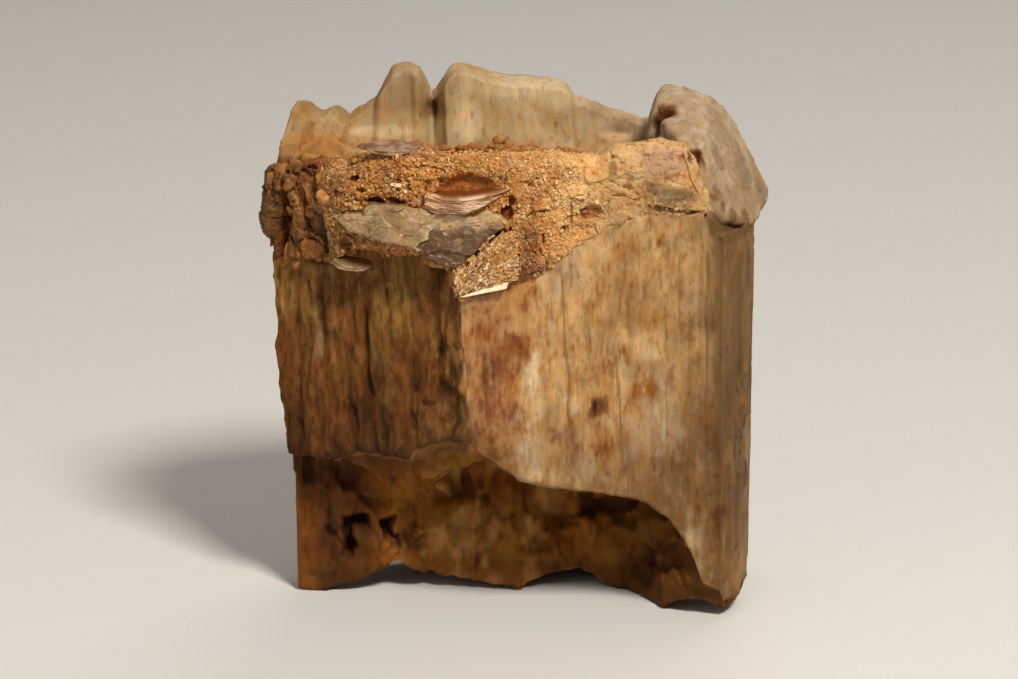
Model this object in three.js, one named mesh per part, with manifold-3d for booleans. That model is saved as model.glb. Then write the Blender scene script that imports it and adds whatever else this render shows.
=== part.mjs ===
// A stubby hambergite crystal, broken off at the foot, with a stepped termination and a grown-on crust.
//
// Frame, in millimetres: X to the right across the widest prism face, Y from the front face to the back,
// Z up along the crystal's own length. The origin is at the middle of the outline, on the resting plane.
//
// The crystal is a stack of upright slices, one for each x. Each slice is a closed line in Y and Z that
// runs down the front face, in under the broken edge, along the underside, up the back and over the top.
// The crust is the part of that same body that lies above the crust line, at the front and on the left.

import * as THREE from "three";
import { ConvexGeometry } from "three/addons/geometries/ConvexGeometry.js";
import { mergeVertices } from "three/addons/utils/BufferGeometryUtils.js";
import Module from "manifold-3d";

const wasm = await Module();
wasm.setup();

// ---- Driving dimensions -----------------------------------------------------------------------------

const LEFT_END = -18.8; // nominal x of the first slice
const RIGHT_END = 16.3; // nominal x of the last slice, at the right front arris
const LEFT_ARRIS_Y = -2.2; // the front of the left side
const RIDGE_X = -3.9; // the upright arris where the two front faces meet
const RETURN_X = -5.3; // the foot of the small side wall on the left of that arris
const SLICE_STEP = 1.25; // the widest gap between two slices
const WIDENING_FROM_X = 4; // the slices spread towards the right side from here on
const STEP_RUN = 0.25; // the width over which one termination steps down to the next
const SEAT_GAP = 0.3; // the gap between two solids that were grown together
const CRUST_BACK_Y = -5.6; // how far back the crust reaches at the front
const LEFT_CRUST_BACK_Y = 0.1; // how far back it reaches on the left
const LEFT_CRUST_X = -13.9; // the left crust lies on the left of this
const CRUST_RIGHT_X = 15.6; // the right end of the crust
const FOOT_DIP = 0.35; // how much of each foot is worn flat
const SHARPEST_CORNER = 0.4; // the least cosine at which a seat's corner still comes to its full point
const FELDSPAR_Y = [-10.3, -7.4]; // front and back of the feldspar plate
const BOOK_Y = [-10.5, -7.2]; // front and back of the mica book
const LENS_Y = [-7.9, -5.6]; // front and back of the mica lens
const FLAKE_CENTRE = [-8.6, -7, 37.85];
const FLAKE_RADII = [3.2, 1.5, 0.32];

// What stays the same from slice to slice.
const SECTION = {
  crustStep: [-0.3, 0.7], // the face bulges out between these heights above and below the crust's foot
  lip: 0.4, // drop from the broken edge to the hollow's roof
  footDepth: 1.6, // how deep the front foot is, front to back
  vaultShare: 0.55, // how far back the underside is at its highest
  vaultZ: 2.6,
  backFootDepth: 2.4,
  backFootInset: 0.5,
  backFootTop: 3.5, // the back stands upright above this height
  crestDrop: 0.3, // how far the back edge of a termination is bevelled
  crestShare: 0.35, // how far back from its front wall the crest stands
  wallDrop: 0.4,
  bowlDepth: 0.3,
  rimWidth: 1.5,
  rimDrop: 0.2,
  bowlFront: 3.2,
  bowlRise: 0.5,
};

// ---- Outlines: [x, value] unless a comment says otherwise --------------------------------------------

const FRONT_FACE_Y = [
  [LEFT_END, LEFT_ARRIS_Y],
  [RETURN_X, -7.1],
  [RIDGE_X, -9.4],
  [RIGHT_END, -7.3],
];
const CRUST_FACE_Y = [
  [LEFT_END, -2.4],
  [-16, -4.8],
  [-13, -7.4],
  [-9, -8.9],
  [RIDGE_X, -9.8],
  [4, -9.6],
  [10, -9.2],
  [RIGHT_END, -7.6],
];
const CRUST_FOOT_Z = [
  [-22, 28.2],
  [-14, 28],
  [-12, 29.6],
  [-5.2, 29.3],
  [-4.3, 26.4],
  [-0.6, 27.4],
  [2.2, 28.6],
  [5, 31],
  [7, 32],
  [10.8, 33],
  [20, 32.2],
];
const BROKEN_EDGE_Z = [
  [LEFT_END, 12.2],
  [-9, 12.9],
  [-5, 14.8],
  [RIDGE_X, 15],
  [-2.4, 13.6],
  [-0.3, 12.1],
  [2, 11.3],
  [6.8, 10.5],
  [9.9, 9.9],
  [11.9, 8.4],
  [13.9, 5.9],
  [14.9, 3.2],
  [RIGHT_END, 2.6],
];
const HOLLOW_TOP_Y = [
  [LEFT_END, -0.6],
  [-13, 0.2],
  [-9, 1.4],
  [-2, 1.9],
  [4, 3],
  [8, 2],
  [10.5, -1.5],
  [12.6, -5],
  [14.6, -7.2],
  [RIGHT_END, -7.25],
];
const HOLLOW_FOOT_Y = [
  [LEFT_END, 0.3],
  [-13, -0.3],
  [-9.6, 0.2],
  [-8, 0.8],
  [-1, 0],
  [5, 1.4],
  [7.6, 0.5],
  [9.2, -2.4],
  [10.5, -4.7],
  [13, -6.2],
  [RIGHT_END, -6.9],
];
const UNDERSIDE_FRONT_Z = [
  [-17.4, -FOOT_DIP],
  [-15.2, -FOOT_DIP],
  [-14.4, 0.5],
  [-12.4, 1],
  [-10.6, 2],
  [-9.4, 2.5],
  [-7.2, 1.5],
  [-4, 1],
  [-1.6, 0.3],
  [0.6, 0.3],
  [3, 1.4],
  [5.6, 1.6],
  [7.2, 0.4],
  [9.4, -FOOT_DIP],
  [11.6, -FOOT_DIP],
  [13.4, 0.7],
  [15, 1.5],
  [18.8, 1.9],
];
const UNDERSIDE_BACK_Z = [
  [-17, 3],
  [-13, 1.6],
  [-7, -FOOT_DIP],
  [9, -FOOT_DIP],
  [13, 0.8],
  [19, 2.2],
];
const BACK_FACE_Y = [
  [LEFT_END, 6.2],
  [-15, 8.2],
  [-7.6, 9.9],
  [-7, 9.3],
  [3.8, 10.3],
  [4.6, 9.7],
  [RIGHT_END, 7.6],
];
const FRONT_RIM_Z = [
  [LEFT_END, 35.4],
  [-16.5, 36.6],
  [-13.3, 36.1],
  [-11, 37.2],
  [-8, 37.7],
  [3.6, 37.8],
  [8.1, 38.1],
  [11.2, 38.4],
  [14.3, 38],
  [RIGHT_END, 36.4],
];
const BOWL_Z = [
  [LEFT_END, 36.2],
  [-14, 36.4],
  [-11, 35.4],
  [-6, 34.9],
  [6, 35],
  [13.6, 35.6],
  [RIGHT_END, 32.8],
];
// The stepped terminations along the back: [left x, right x, left top z, right top z, y of the front wall].
const TERMINATIONS = [
  [-17.6, -16.6, 38.6, 39.8, 0.8],
  [-16.6, -14.4, 39.8, 38.9, 0.8],
  [-14.4, -12.4, 39, 38.6, 2],
  [-12.4, -10.7, 39.1, 39.5, 3.4],
  [-10.7, -9.5, 40.4, 42, 4.9],
  [-9.5, -7.8, 42.1, 42, 4.7],
  [-7.8, -6.8, 41.6, 40.2, 5.2],
  [-6.8, -6, 39.8, 40.4, 6.2],
  [-6, -4.3, 40.8, 42, 4.3],
  [-4.3, 0.6, 41.9, 41, 4.2],
  [0.6, 4.8, 41, 40.5, 4.8],
  [4.8, 10.3, 39.3, 38.1, 5.6],
  [10.3, 16.5, 37.8, 37, 5.2],
  [16.5, 19.2, 36.6, 33, 5.2],
];
const LEFT_EDGE_SHIFT = [
  // [z, how far the left side stands in from the first slice]
  [0, 1],
  [12, 1.1],
  [12.8, 0.9],
  [16, 0.7],
  [20, 0.2],
  [28, 0],
  [30.5, -0.9],
  [34.5, -0.9],
  [36.5, 0],
  [42, 0.4],
];
const RIGHT_SIDE_SHIFT = [
  // [y, how far the right side stands out from the last slice]
  [-7.3, 0],
  [-6, 1],
  [-3.5, 2.1],
  [2, 2.5],
  [7.4, 2.9],
];
const LEFT_SIDE_RUN = 0.2; // how far the left side moves in for each mm towards the back
const CREST_Y = 6; // where the terminations are measured
const CREST_Z = 40;
const OPEN_FRONT = 18; // further forward than any piece
const ABOVE_ALL = 45; // higher than any piece

// The second crystal, grown on at the upper right.
const SHOULDER_CORNERS = [
  [11.6, 3.6, 40.2],
  [12.4, 4, 40.6],
  [12.2, 1.8, 40],
  [15.6, 2.4, 39.6],
  [15.9, 4, 39.4],
  [10.6, 0.6, 36.4],
  [10.8, 5.4, 37.8],
  [12.4, -5.2, 38.1],
  [15.4, -6, 37.4],
  [17, -4.6, 33.4],
  [16.8, 4.6, 38],
  [18.4, 4.6, 35.7],
  [19.7, 2.4, 32.6],
  [20.2, 5, 31.7],
  [19.8, 5.6, 30.6],
  [18.8, 5.6, 28.9],
  [18.4, 0.5, 29.4],
  [12, -3, 30],
  [12, 5.6, 30],
];

// Flat outlines of the grains set in the crust, as [x, z].
const FELDSPAR_OUTLINE = [
  [-13.2, 31.9],
  [-12.4, 30.9],
  [-9.8, 30.2],
  [-7.1, 29.8],
  [-4.8, 29],
  [-3.3, 28.9],
  [-2.2, 29.4],
  [-1, 30.7],
  [-0.1, 31.8],
  [-1.3, 32.9],
  [-5.9, 33.2],
  [-7.9, 33.6],
  [-10.6, 33.5],
  [-10.9, 32.9],
  [-12.5, 32.7],
];
const BOOK_OUTLINE = [
  [-7.1, 34.1],
  [-5.9, 33.6],
  [-1.4, 33.6],
  [-0.4, 34.3],
  [0, 35.2],
  [-3.3, 35],
  [-6.4, 34.6],
];
const LENS_OUTLINE = [
  [-14, 28.5],
  [-13, 28.1],
  [-11.9, 28],
  [-10.8, 28.4],
  [-12, 28.9],
  [-13.3, 29],
];

// ---- Small helpers ------------------------------------------------------------------------------------

// The value at t on a line through [t, value] points.
function along(points, t) {
  if (t <= points[0][0]) return points[0][1];
  for (let i = 1; i < points.length; i++) {
    const [t0, v0] = points[i - 1];
    const [t1, v1] = points[i];
    if (t <= t1) return v0 + ((v1 - v0) * (t - t0)) / (t1 - t0);
  }
  return points[points.length - 1][1];
}

const mix = (a, b, share) => a + (b - a) * share;

// 0 at from and 1 at to, with a smooth turn between, whichever of the two is larger.
const smooth = (from, to, t) =>
  THREE.MathUtils.smoothstep((t - from) / (to - from), 0, 1);

// Evenly spaced points from a to b in Y and Z, without b.
function run(a, b, count) {
  return Array.from({ length: count }, (_, i) => [
    mix(a[0], b[0], i / count),
    mix(a[1], b[1], i / count),
  ]);
}

// ---- The crystal's slices -----------------------------------------------------------------------------

// The front of the whole body, crust included, at x and z.
function frontY(x, z) {
  const above = z - along(CRUST_FOOT_Z, x);
  const bulge = smooth(...SECTION.crustStep, above);
  return mix(along(FRONT_FACE_Y, x), along(CRUST_FACE_Y, x), bulge);
}

// The top height and the front wall of the termination that stands at x.
function terminationAt(x) {
  const i = TERMINATIONS.findIndex(([, right]) => x < right);
  const last = i < 0 ? TERMINATIONS.length - 1 : i;
  const [left, right, leftZ, rightZ, wallY] = TERMINATIONS[last];
  return { top: mix(leftZ, rightZ, (x - left) / (right - left)), wallY };
}

// The front of a slice from its rim down to the broken edge, with rows along the crust's foot.
function frontRows(x, rimZ, edgeZ) {
  const [below, above] = SECTION.crustStep.map((z) => along(CRUST_FOOT_Z, x) + z);
  return [
    ...run([0, rimZ], [0, above], 5),
    ...run([0, above], [0, below], 2),
    ...run([0, below], [0, edgeZ], 6),
  ].map(([, z]) => [frontY(x, z), z]);
}

// One closed slice at station x, as [y, z] points, the same number in each.
function slice(x) {
  const footX = place(x, 0, 0)[0];
  const edgeZ = along(BROKEN_EDGE_Z, x);
  const rimZ = along(FRONT_RIM_Z, x);
  const bowlZ = along(BOWL_Z, x);
  const frontFootZ = along(UNDERSIDE_FRONT_Z, footX);
  const backFootZ = along(UNDERSIDE_BACK_Z, footX);
  const { top, wallY } = terminationAt(place(x, CREST_Y, CREST_Z)[0]);
  const backY = along(BACK_FACE_Y, x);
  const rim = [frontY(x, rimZ), rimZ];
  const edge = [frontY(x, edgeZ), edgeZ];
  const hollowTop = [along(HOLLOW_TOP_Y, x), edgeZ - SECTION.lip];
  const hollowFoot = [along(HOLLOW_FOOT_Y, x), frontFootZ];
  const footIn = [hollowFoot[0] + SECTION.footDepth, frontFootZ];
  const vault = [mix(hollowFoot[0], backY, SECTION.vaultShare), SECTION.vaultZ];
  const backFootIn = [backY - SECTION.backFootDepth, backFootZ];
  const backFoot = [backY - SECTION.backFootInset, backFootZ];
  const backLow = [backY, SECTION.backFootTop];
  const backTop = [backY - SECTION.backFootInset, top - SECTION.crestDrop];
  const crest = [mix(wallY, backY, SECTION.crestShare), top];
  const wallTop = [wallY, top - SECTION.wallDrop];
  const bowlBack = [wallY - SECTION.bowlDepth, bowlZ];
  const bowlFront = [rim[0] + SECTION.bowlFront, bowlZ + SECTION.bowlRise];
  const rimIn = [rim[0] + SECTION.rimWidth, rimZ - SECTION.rimDrop];
  return [
    ...frontRows(x, rimZ, edgeZ),
    ...run(edge, hollowTop, 4),
    ...run(hollowTop, hollowFoot, 5),
    hollowFoot,
    footIn,
    vault,
    backFootIn,
    backFoot,
    ...run(backLow, backTop, 9),
    backTop,
    crest,
    wallTop,
    ...run(bowlBack, bowlFront, 4),
    bowlFront,
    rimIn,
  ];
}

// Where a slice point lies: the left and right sides lean, and the left edge follows its own outline.
function place(x, y, z) {
  const leftShift =
    along(LEFT_EDGE_SHIFT, z) + (y - LEFT_ARRIS_Y) * LEFT_SIDE_RUN;
  const rightShift = along(RIGHT_SIDE_SHIFT, y);
  const moved =
    smooth(RETURN_X, LEFT_END, x) * leftShift +
    smooth(WIDENING_FROM_X, RIGHT_END, x) * rightShift;
  return [x + moved, y, z];
}

// The station whose termination stands at x, found by stepping back from place a few times.
function stationOf(x) {
  let station = x;
  for (let i = 0; i < 20; i++)
    station += x - place(station, CREST_Y, CREST_Z)[0];
  return station;
}

// The x of each slice: at every step of the terminations and every corner of the front, and evenly between.
function sliceStations() {
  const steps = TERMINATIONS.slice(1).flatMap(([left]) => [
    stationOf(left - STEP_RUN / 2),
    stationOf(left + STEP_RUN / 2),
  ]);
  const corners = [LEFT_END, RETURN_X, RIDGE_X, RIGHT_END];
  const fixed = [...corners, ...steps].sort((a, b) => a - b);
  return fixed.flatMap((x, i) => {
    if (i === fixed.length - 1) return [x];
    const gap = fixed[i + 1] - x;
    const parts = Math.max(1, Math.round(gap / SLICE_STEP));
    return Array.from({ length: parts }, (_, k) => x + (gap * k) / parts);
  });
}

// ---- Meshes and solids --------------------------------------------------------------------------------

// A closed geometry from rings of points: each ring joins the next, and both ends are filled in.
function skin(rings) {
  const size = rings[0].length;
  const positions = rings.flat(2);
  const index = [];
  rings.slice(1).forEach((_, r) => {
    for (let i = 0; i < size; i++) {
      const a = r * size + i;
      const b = r * size + ((i + 1) % size);
      index.push(a, b, a + size, b, b + size, a + size);
    }
  });
  for (const first of [0, (rings.length - 1) * size]) {
    const outline = rings[first / size].map(([, y, z]) => new THREE.Vector2(y, z));
    for (const [a, b, c] of THREE.ShapeUtils.triangulateShape(outline, [])) {
      const face = [first + a, first + b, first + c];
      index.push(...(first ? face : face.reverse()));
    }
  }
  return new THREE.BufferGeometry()
    .setAttribute("position", new THREE.Float32BufferAttribute(positions, 3))
    .setIndex(index);
}

// A manifold-3d solid from a closed geometry, turned the right way out.
function solidOf(geometry) {
  const bare = new THREE.BufferGeometry().setAttribute(
    "position",
    geometry.getAttribute("position"),
  );
  if (geometry.index) bare.setIndex(geometry.index);
  const merged = mergeVertices(bare, 1e-4);
  const vertProperties = new Float32Array(merged.attributes.position.array);
  const triVerts = new Uint32Array(merged.index.array);
  const made = new wasm.Manifold(
    new wasm.Mesh({ numProp: 3, vertProperties, triVerts }),
  );
  if (made.volume() > 0) return made;
  for (let i = 0; i < triVerts.length; i += 3)
    [triVerts[i + 1], triVerts[i + 2]] = [triVerts[i + 2], triVerts[i + 1]];
  return new wasm.Manifold(
    new wasm.Mesh({ numProp: 3, vertProperties, triVerts }),
  );
}

function geometryOf(solid) {
  const mesh = solid.getMesh();
  const geometry = new THREE.BufferGeometry()
    .setAttribute(
      "position",
      new THREE.BufferAttribute(mesh.vertProperties, mesh.numProp),
    )
    .setIndex(new THREE.BufferAttribute(mesh.triVerts, 1));
  geometry.computeVertexNormals();
  return geometry;
}

// An upright plate: an outline in X and Z, carried in Y from front to back.
function plate(outline, front, back) {
  const shape = new THREE.Shape(outline.map(([x, z]) => new THREE.Vector2(x, z)));
  const geometry = new THREE.ExtrudeGeometry(shape, {
    depth: back - front,
    bevelEnabled: false,
  });
  return solidOf(geometry.rotateX(Math.PI / 2).translate(0, back, 0));
}

// An outline moved outwards by gap, with its sharpest corners blunted.
function grown(outline, gap) {
  const points = outline.map(([x, z]) => new THREE.Vector2(x, z));
  const turn = THREE.ShapeUtils.isClockWise(points) ? -1 : 1;
  const outward = (from, to) =>
    new THREE.Vector2(to.y - from.y, from.x - to.x).setLength(turn);
  return points.map((point, i) => {
    const before = outward(points.at(i - 1), point);
    const after = outward(point, points[(i + 1) % points.length]);
    const away = before.clone().add(after).normalize();
    const reach = gap / Math.max(SHARPEST_CORNER, away.dot(before));
    return [point.x + away.x * reach, point.y + away.y * reach];
  });
}

// A convex chunk with flat faces around a list of [x, y, z] corners.
const chunk = (corners) =>
  solidOf(new ConvexGeometry(corners.map((c) => new THREE.Vector3(...c))));

// ---- The pieces ---------------------------------------------------------------------------------------

// The whole body before the crust is parted from it, worn flat where it stands.
function wholeBody() {
  const rings = sliceStations().map((x) =>
    slice(x).map(([y, z]) => place(x, y, z)),
  );
  const floor = new THREE.BoxGeometry(100, 100, 20).translate(0, 0, -10);
  return solidOf(skin(rings))
    .add(chunk(SHOULDER_CORNERS))
    .subtract(solidOf(floor));
}

// The part of the crust's space between two x values, as far back as backY, widened by gap all round.
function crustRoom(from, to, backY, gap) {
  const sideways = [-gap, 0, gap];
  const bends = CRUST_FOOT_Z.flatMap(([x]) => sideways.map((d) => x + d));
  const inside = bends.filter((x) => x > from && x < to);
  const footZ = (x) =>
    Math.min(...sideways.map((d) => along(CRUST_FOOT_Z, x + d))) - gap;
  const foot = [from, ...new Set(inside), to].map((x) => [x, footZ(x)]);
  return plate([...foot, [to, ABOVE_ALL], [from, ABOVE_ALL]], -OPEN_FRONT, backY + gap);
}

// The space that the crust fills: everything above its foot line, at the front and on the left.
function crustSpace(gap) {
  const front = crustRoom(LEFT_CRUST_X - 1, CRUST_RIGHT_X + gap, CRUST_BACK_Y, gap);
  const left = crustRoom(-24, LEFT_CRUST_X + gap, LEFT_CRUST_BACK_Y, gap);
  return front.add(left);
}

// A thin flake, rounded at its edge and tilted a little, lying on the rim.
function flakeSolid(extra) {
  const [across, deep, thick] = FLAKE_RADII.map((r) => r + extra);
  const geometry = new THREE.SphereGeometry(1, 20, 8)
    .scale(across, deep, thick)
    .rotateX(0.1)
    .rotateZ(-0.05)
    .translate(...FLAKE_CENTRE);
  return solidOf(geometry);
}

// The room that a grain takes up in the crust, open towards the front.
const seat = (outline, [, back]) =>
  plate(grown(outline, SEAT_GAP), -OPEN_FRONT, back + SEAT_GAP);

const body = wholeBody();
const seats = seat(FELDSPAR_OUTLINE, FELDSPAR_Y)
  .add(seat(BOOK_OUTLINE, BOOK_Y))
  .add(seat(LENS_OUTLINE, LENS_Y))
  .add(flakeSolid(SEAT_GAP));
const crust = body.intersect(crustSpace(0)).subtract(seats);
const crystal = body.subtract(crustSpace(SEAT_GAP)).subtract(seats);
const feldspar = plate(FELDSPAR_OUTLINE, ...FELDSPAR_Y);
const book = plate(BOOK_OUTLINE, ...BOOK_Y);
const lens = plate(LENS_OUTLINE, ...LENS_Y);
const flake = flakeSolid(0);

const FINISH = {
  crystal: { color: 0xc9a878, roughness: 0.55 },
  crust: { color: 0xb9854f, roughness: 0.9 },
  feldspar: { color: 0x8f8676, roughness: 0.35 },
  mica: { color: 0xa08a84, roughness: 0.3 },
};

const specimen = new THREE.Group();
for (const [name, solid, finish] of [
  ["hambergite_crystal", crystal, FINISH.crystal],
  ["albite_crust", crust, FINISH.crust],
  ["feldspar_plate", feldspar, FINISH.feldspar],
  ["lepidolite_book", book, FINISH.mica],
  ["lepidolite_flake", flake, FINISH.mica],
  ["lepidolite_lens", lens, FINISH.mica],
]) {
  const material = new THREE.MeshStandardMaterial({ ...finish, metalness: 0 });
  const mesh = new THREE.Mesh(geometryOf(solid), material);
  mesh.name = name;
  specimen.add(mesh);
}

export default specimen;
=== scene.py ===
"""A stubby hambergite crystal with a grainy albite crust, mica and feldspar: its surfaces, finishes, light
and camera.

Lengths are in millimetres until a mesh is made. X runs to the right across the widest face, Y from the front
to the back and Z up along the crystal. Every surface is a formula over a lattice of parameters, worked out as
whole arrays.
"""

from collections import namedtuple

import bpy
import numpy as np
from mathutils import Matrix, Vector


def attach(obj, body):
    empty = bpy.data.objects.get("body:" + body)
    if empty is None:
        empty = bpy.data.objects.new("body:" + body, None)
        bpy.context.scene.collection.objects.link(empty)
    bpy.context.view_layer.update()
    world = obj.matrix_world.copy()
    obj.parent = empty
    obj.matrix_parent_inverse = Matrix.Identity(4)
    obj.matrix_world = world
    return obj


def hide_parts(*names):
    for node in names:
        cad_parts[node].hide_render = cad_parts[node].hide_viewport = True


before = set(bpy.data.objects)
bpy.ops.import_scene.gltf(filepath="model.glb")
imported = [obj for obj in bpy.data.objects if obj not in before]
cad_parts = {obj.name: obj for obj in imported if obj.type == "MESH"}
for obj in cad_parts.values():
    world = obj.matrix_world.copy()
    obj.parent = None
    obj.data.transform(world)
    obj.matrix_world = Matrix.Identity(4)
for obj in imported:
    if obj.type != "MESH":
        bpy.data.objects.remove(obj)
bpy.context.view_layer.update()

MM = 0.001
ROOT = "root"

# ---- Outlines shared with the solid model: the name ends in what is given for each x --------------

LEFT_END, RIGHT_END = -18.8, 16.3  # stations of the first and the last column of the front
LEFT_ARRIS_Y = -2.2
RIDGE_X, RETURN_X = -3.9, -5.3  # the upright arris of the front, and the foot of the small wall beside it
FRONT_PATH = ((LEFT_END, LEFT_ARRIS_Y), (RETURN_X, -7.1), (RIDGE_X, -9.4), (RIGHT_END, -7.3))
BROKEN_EDGE_Z = ((LEFT_END, 12.2), (-9, 12.9), (-5, 14.8), (RIDGE_X, 15), (-2.4, 13.6), (-0.3, 12.1),
                 (2, 11.3), (6.8, 10.5), (9.9, 9.9), (11.9, 8.4), (13.9, 5.9), (14.9, 3.2), (RIGHT_END, 2.4))
HOLLOW_TOP_Y = ((LEFT_END, -0.6), (-13, 0.2), (-9, 1.4), (-2, 1.9), (4, 3), (8, 2), (10.5, -1.5), (12.6, -5),
                (14.6, -7), (RIGHT_END, -7.1))
HOLLOW_FOOT_Y = ((LEFT_END, 0.3), (-13, -0.3), (-9.6, 0.2), (-8, 0.8), (-1, 0), (5, 1.4), (7.6, 0.5),
                 (9.2, -2.4), (10.5, -4.7), (13, -6.2), (RIGHT_END, -6.7))
UNDERSIDE_FRONT_Z = ((-17.4, 0), (-15.2, 0), (-14.4, 0.5), (-12.4, 1), (-10.6, 2), (-9.4, 2.5), (-7.2, 1.5),
                     (-4, 1), (-1.6, 0.3), (0.6, 0.3), (3, 1.4), (5.6, 1.6), (7.2, 0.4), (9.4, 0), (11.6, 0),
                     (13.4, 0.7), (15, 1.4), (18.8, 0.9))
UNDERSIDE_BACK_Z = ((-17, 3), (-13, 1.6), (-7, 0), (9, 0), (13, 0.8), (19, 2.2))
BACK_FACE_Y = ((LEFT_END, 6.2), (-15, 8.2), (-7.6, 9.9), (-7, 9.3), (3.8, 10.3), (4.6, 9.7), (RIGHT_END, 7.6))
FRONT_RIM_Z = ((LEFT_END, 35.4), (-16.5, 36.6), (-13.3, 36.1), (-11, 37.2), (-8, 37.7), (3.6, 37.7),
               (6.6, 37.4), (7.8, 38.2), (11.2, 38.6), (13.2, 38.2), (14.2, 37.2), (15.2, 34.0),
               (RIGHT_END, 31.0))
BOWL_Z = ((LEFT_END, 36.2), (-14, 36.4), (-11, 35.4), (-6, 34.9), (6, 35), (13.2, 35.2), (RIGHT_END, 31.4))
CRUST_FOOT_Z = ((-22, 28.2), (-14, 28), (-12, 29.6), (-5.2, 29.3), (-4.3, 26.4), (-0.6, 27.4), (2.2, 28.6),
                (5, 31), (7, 32), (10.8, 33), (20, 32.2))
# How far the left edge moves sideways, by z, and the right side, by y.
LEFT_EDGE_SHIFT = ((0, 0.9), (12, 1.1), (12.8, 0.9), (16, 0.7), (20, 0.2), (28, 0), (30.5, -0.2), (36.5, 0),
                   (40, 0.9), (42, 1.2))
RIGHT_SIDE_SHIFT = ((-7.3, 0), (-6, 1), (-3.5, 2.1), (2, 2.5), (7.4, 2.9))
LEFT_SIDE_RUN = 0.2  # how far the left side moves to the right for each millimetre back
WIDENING_FROM_X = 4  # the station from which the right side's shift grows
CREST_Y, CREST_Z = 6, 40  # where a column is measured for its crest
HIGHEST_Z = 42.1
# The broken top behind the bowl: the height of its crest, and where its front wall stands, both by x.
CREST_LINE = ((-17.8, 36.9), (-17.4, 39), (-16.7, 39.8), (-15.9, 39.5), (-14.9, 38.7), (-14.4, 38.6),
              (-13.8, 38.9), (-13.3, 38.5), (-12.8, 37.9), (-12.4, 38.4), (-11.9, 38.8), (-10.8, 39.4),
              (-10.4, 40.3), (-9.9, 41.3), (-9.5, 41.9), (-8.9, 42.1), (-7.9, 42.1), (-7.4, 41.8), (-7, 41),
              (-6.5, 39.7), (-6.1, 40), (-5.2, 41.5), (-4.6, 42), (-4, 42.1), (-3.4, 41.9), (-2.6, 41.6),
              (-1, 41.2), (0.6, 41), (2.5, 40.8), (3.9, 40.7), (4.4, 40.4), (4.9, 39.4), (5.5, 39.2),
              (6.9, 38.7), (8.5, 38.2), (10.1, 37.7), (12.5, 37.2), (14.5, 36), (16.5, 32.8), (19.4, 31))
WALL_LINE = ((-17.8, 1.2), (-15, 1.5), (-14.4, 2.4), (-12.7, 3), (-12.3, 4.2), (-10.9, 4.7), (-10.4, 4.4),
             (-7.3, 4.6), (-6.6, 6), (-6.2, 5.3), (-5.4, 4.2), (0.4, 4.1), (0.9, 4.6), (4.5, 4.8), (5.1, 5.5),
             (19, 5.4))


# ---- Small helpers -------------------------------------------------------------------------------

def along(points, t):
    """The value at t on the line through (t, value) points."""
    ts, values = zip(*points)
    return np.interp(t, ts, values)


def mix(a, b, share):
    """The value that lies a share of the way from a to b."""
    return a + (b - a) * share


def smooth(start, end, t):
    """0 at start and 1 at end, whichever is larger: 3 s^2 - 2 s^3 of the share s between them."""
    s = np.clip((t - start) / (end - start), 0, 1)
    return s * s * (3 - 2 * s)


def bump(t, middle, width):
    """A soft hill: e to the power of minus the squared distance from the middle, in widths."""
    return np.exp(-(((t - middle) / width) ** 2))


def points_at(x, y=0, z=0):
    """Points with the given x, y and z, each an array or one number for all."""
    return np.stack(np.broadcast_arrays(x, y, z), -1)


def oval(x, z, middle_x, middle_z, across, up):
    """The squared distance from a middle, in half widths and half heights."""
    return ((x - middle_x) / across) ** 2 + ((z - middle_z) / up) ** 2


def near_line(x, z, corners):
    """The distance from each point to a broken line."""
    best = np.full(len(x), 99.0)
    for (x0, z0), (x1, z1) in zip(corners, corners[1:]):
        run, climb = x1 - x0, z1 - z0
        share = np.clip(((x - x0) * run + (z - z0) * climb) / (run**2 + climb**2), 0, 1)
        best = np.minimum(best, np.hypot(x - mix(x0, x1, share), z - mix(z0, z1, share)))
    return best


def path_points(path, share, measure):
    """The points of a broken line at shares of the length of another, which has the same corners."""
    legs = np.linalg.norm(np.diff(np.array(measure, float), axis=0), axis=1)
    at = np.concatenate([[0], np.cumsum(legs)])
    return np.stack([np.interp(share, at / at[-1], values) for values in np.array(path, float).T], -1)


def broken_line(points, shares, t):
    """A broken line through the points, passed at the given shares of t: the sum of each leg's travel."""
    total = points[0]
    for a, b, start, end in zip(points, points[1:], shares, shares[1:]):
        total = total + (b - a) * np.clip((t - start) / (end - start), 0, 1)
    return total


def tone(text):
    """A linear colour from a hex code of the sRGB colour."""
    c = np.array([int(text[i:i + 2], 16) for i in (1, 3, 5)]) / 255
    return np.where(c <= 0.04045, c / 12.92, ((c + 0.055) / 1.055) ** 2.4)


def tinted(colour, other, share):
    """The colour moved towards the other colour, by a share of its own for each point."""
    return mix(colour, other, np.clip(share, 0, 1)[..., None])


def layered(colour, *layers):
    """The colour with each layer, an (other colour, share), laid over it in turn."""
    for other, share in layers:
        colour = tinted(colour, other, share)
    return colour


# ---- Colours -------------------------------------------------------------------------------------

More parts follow.
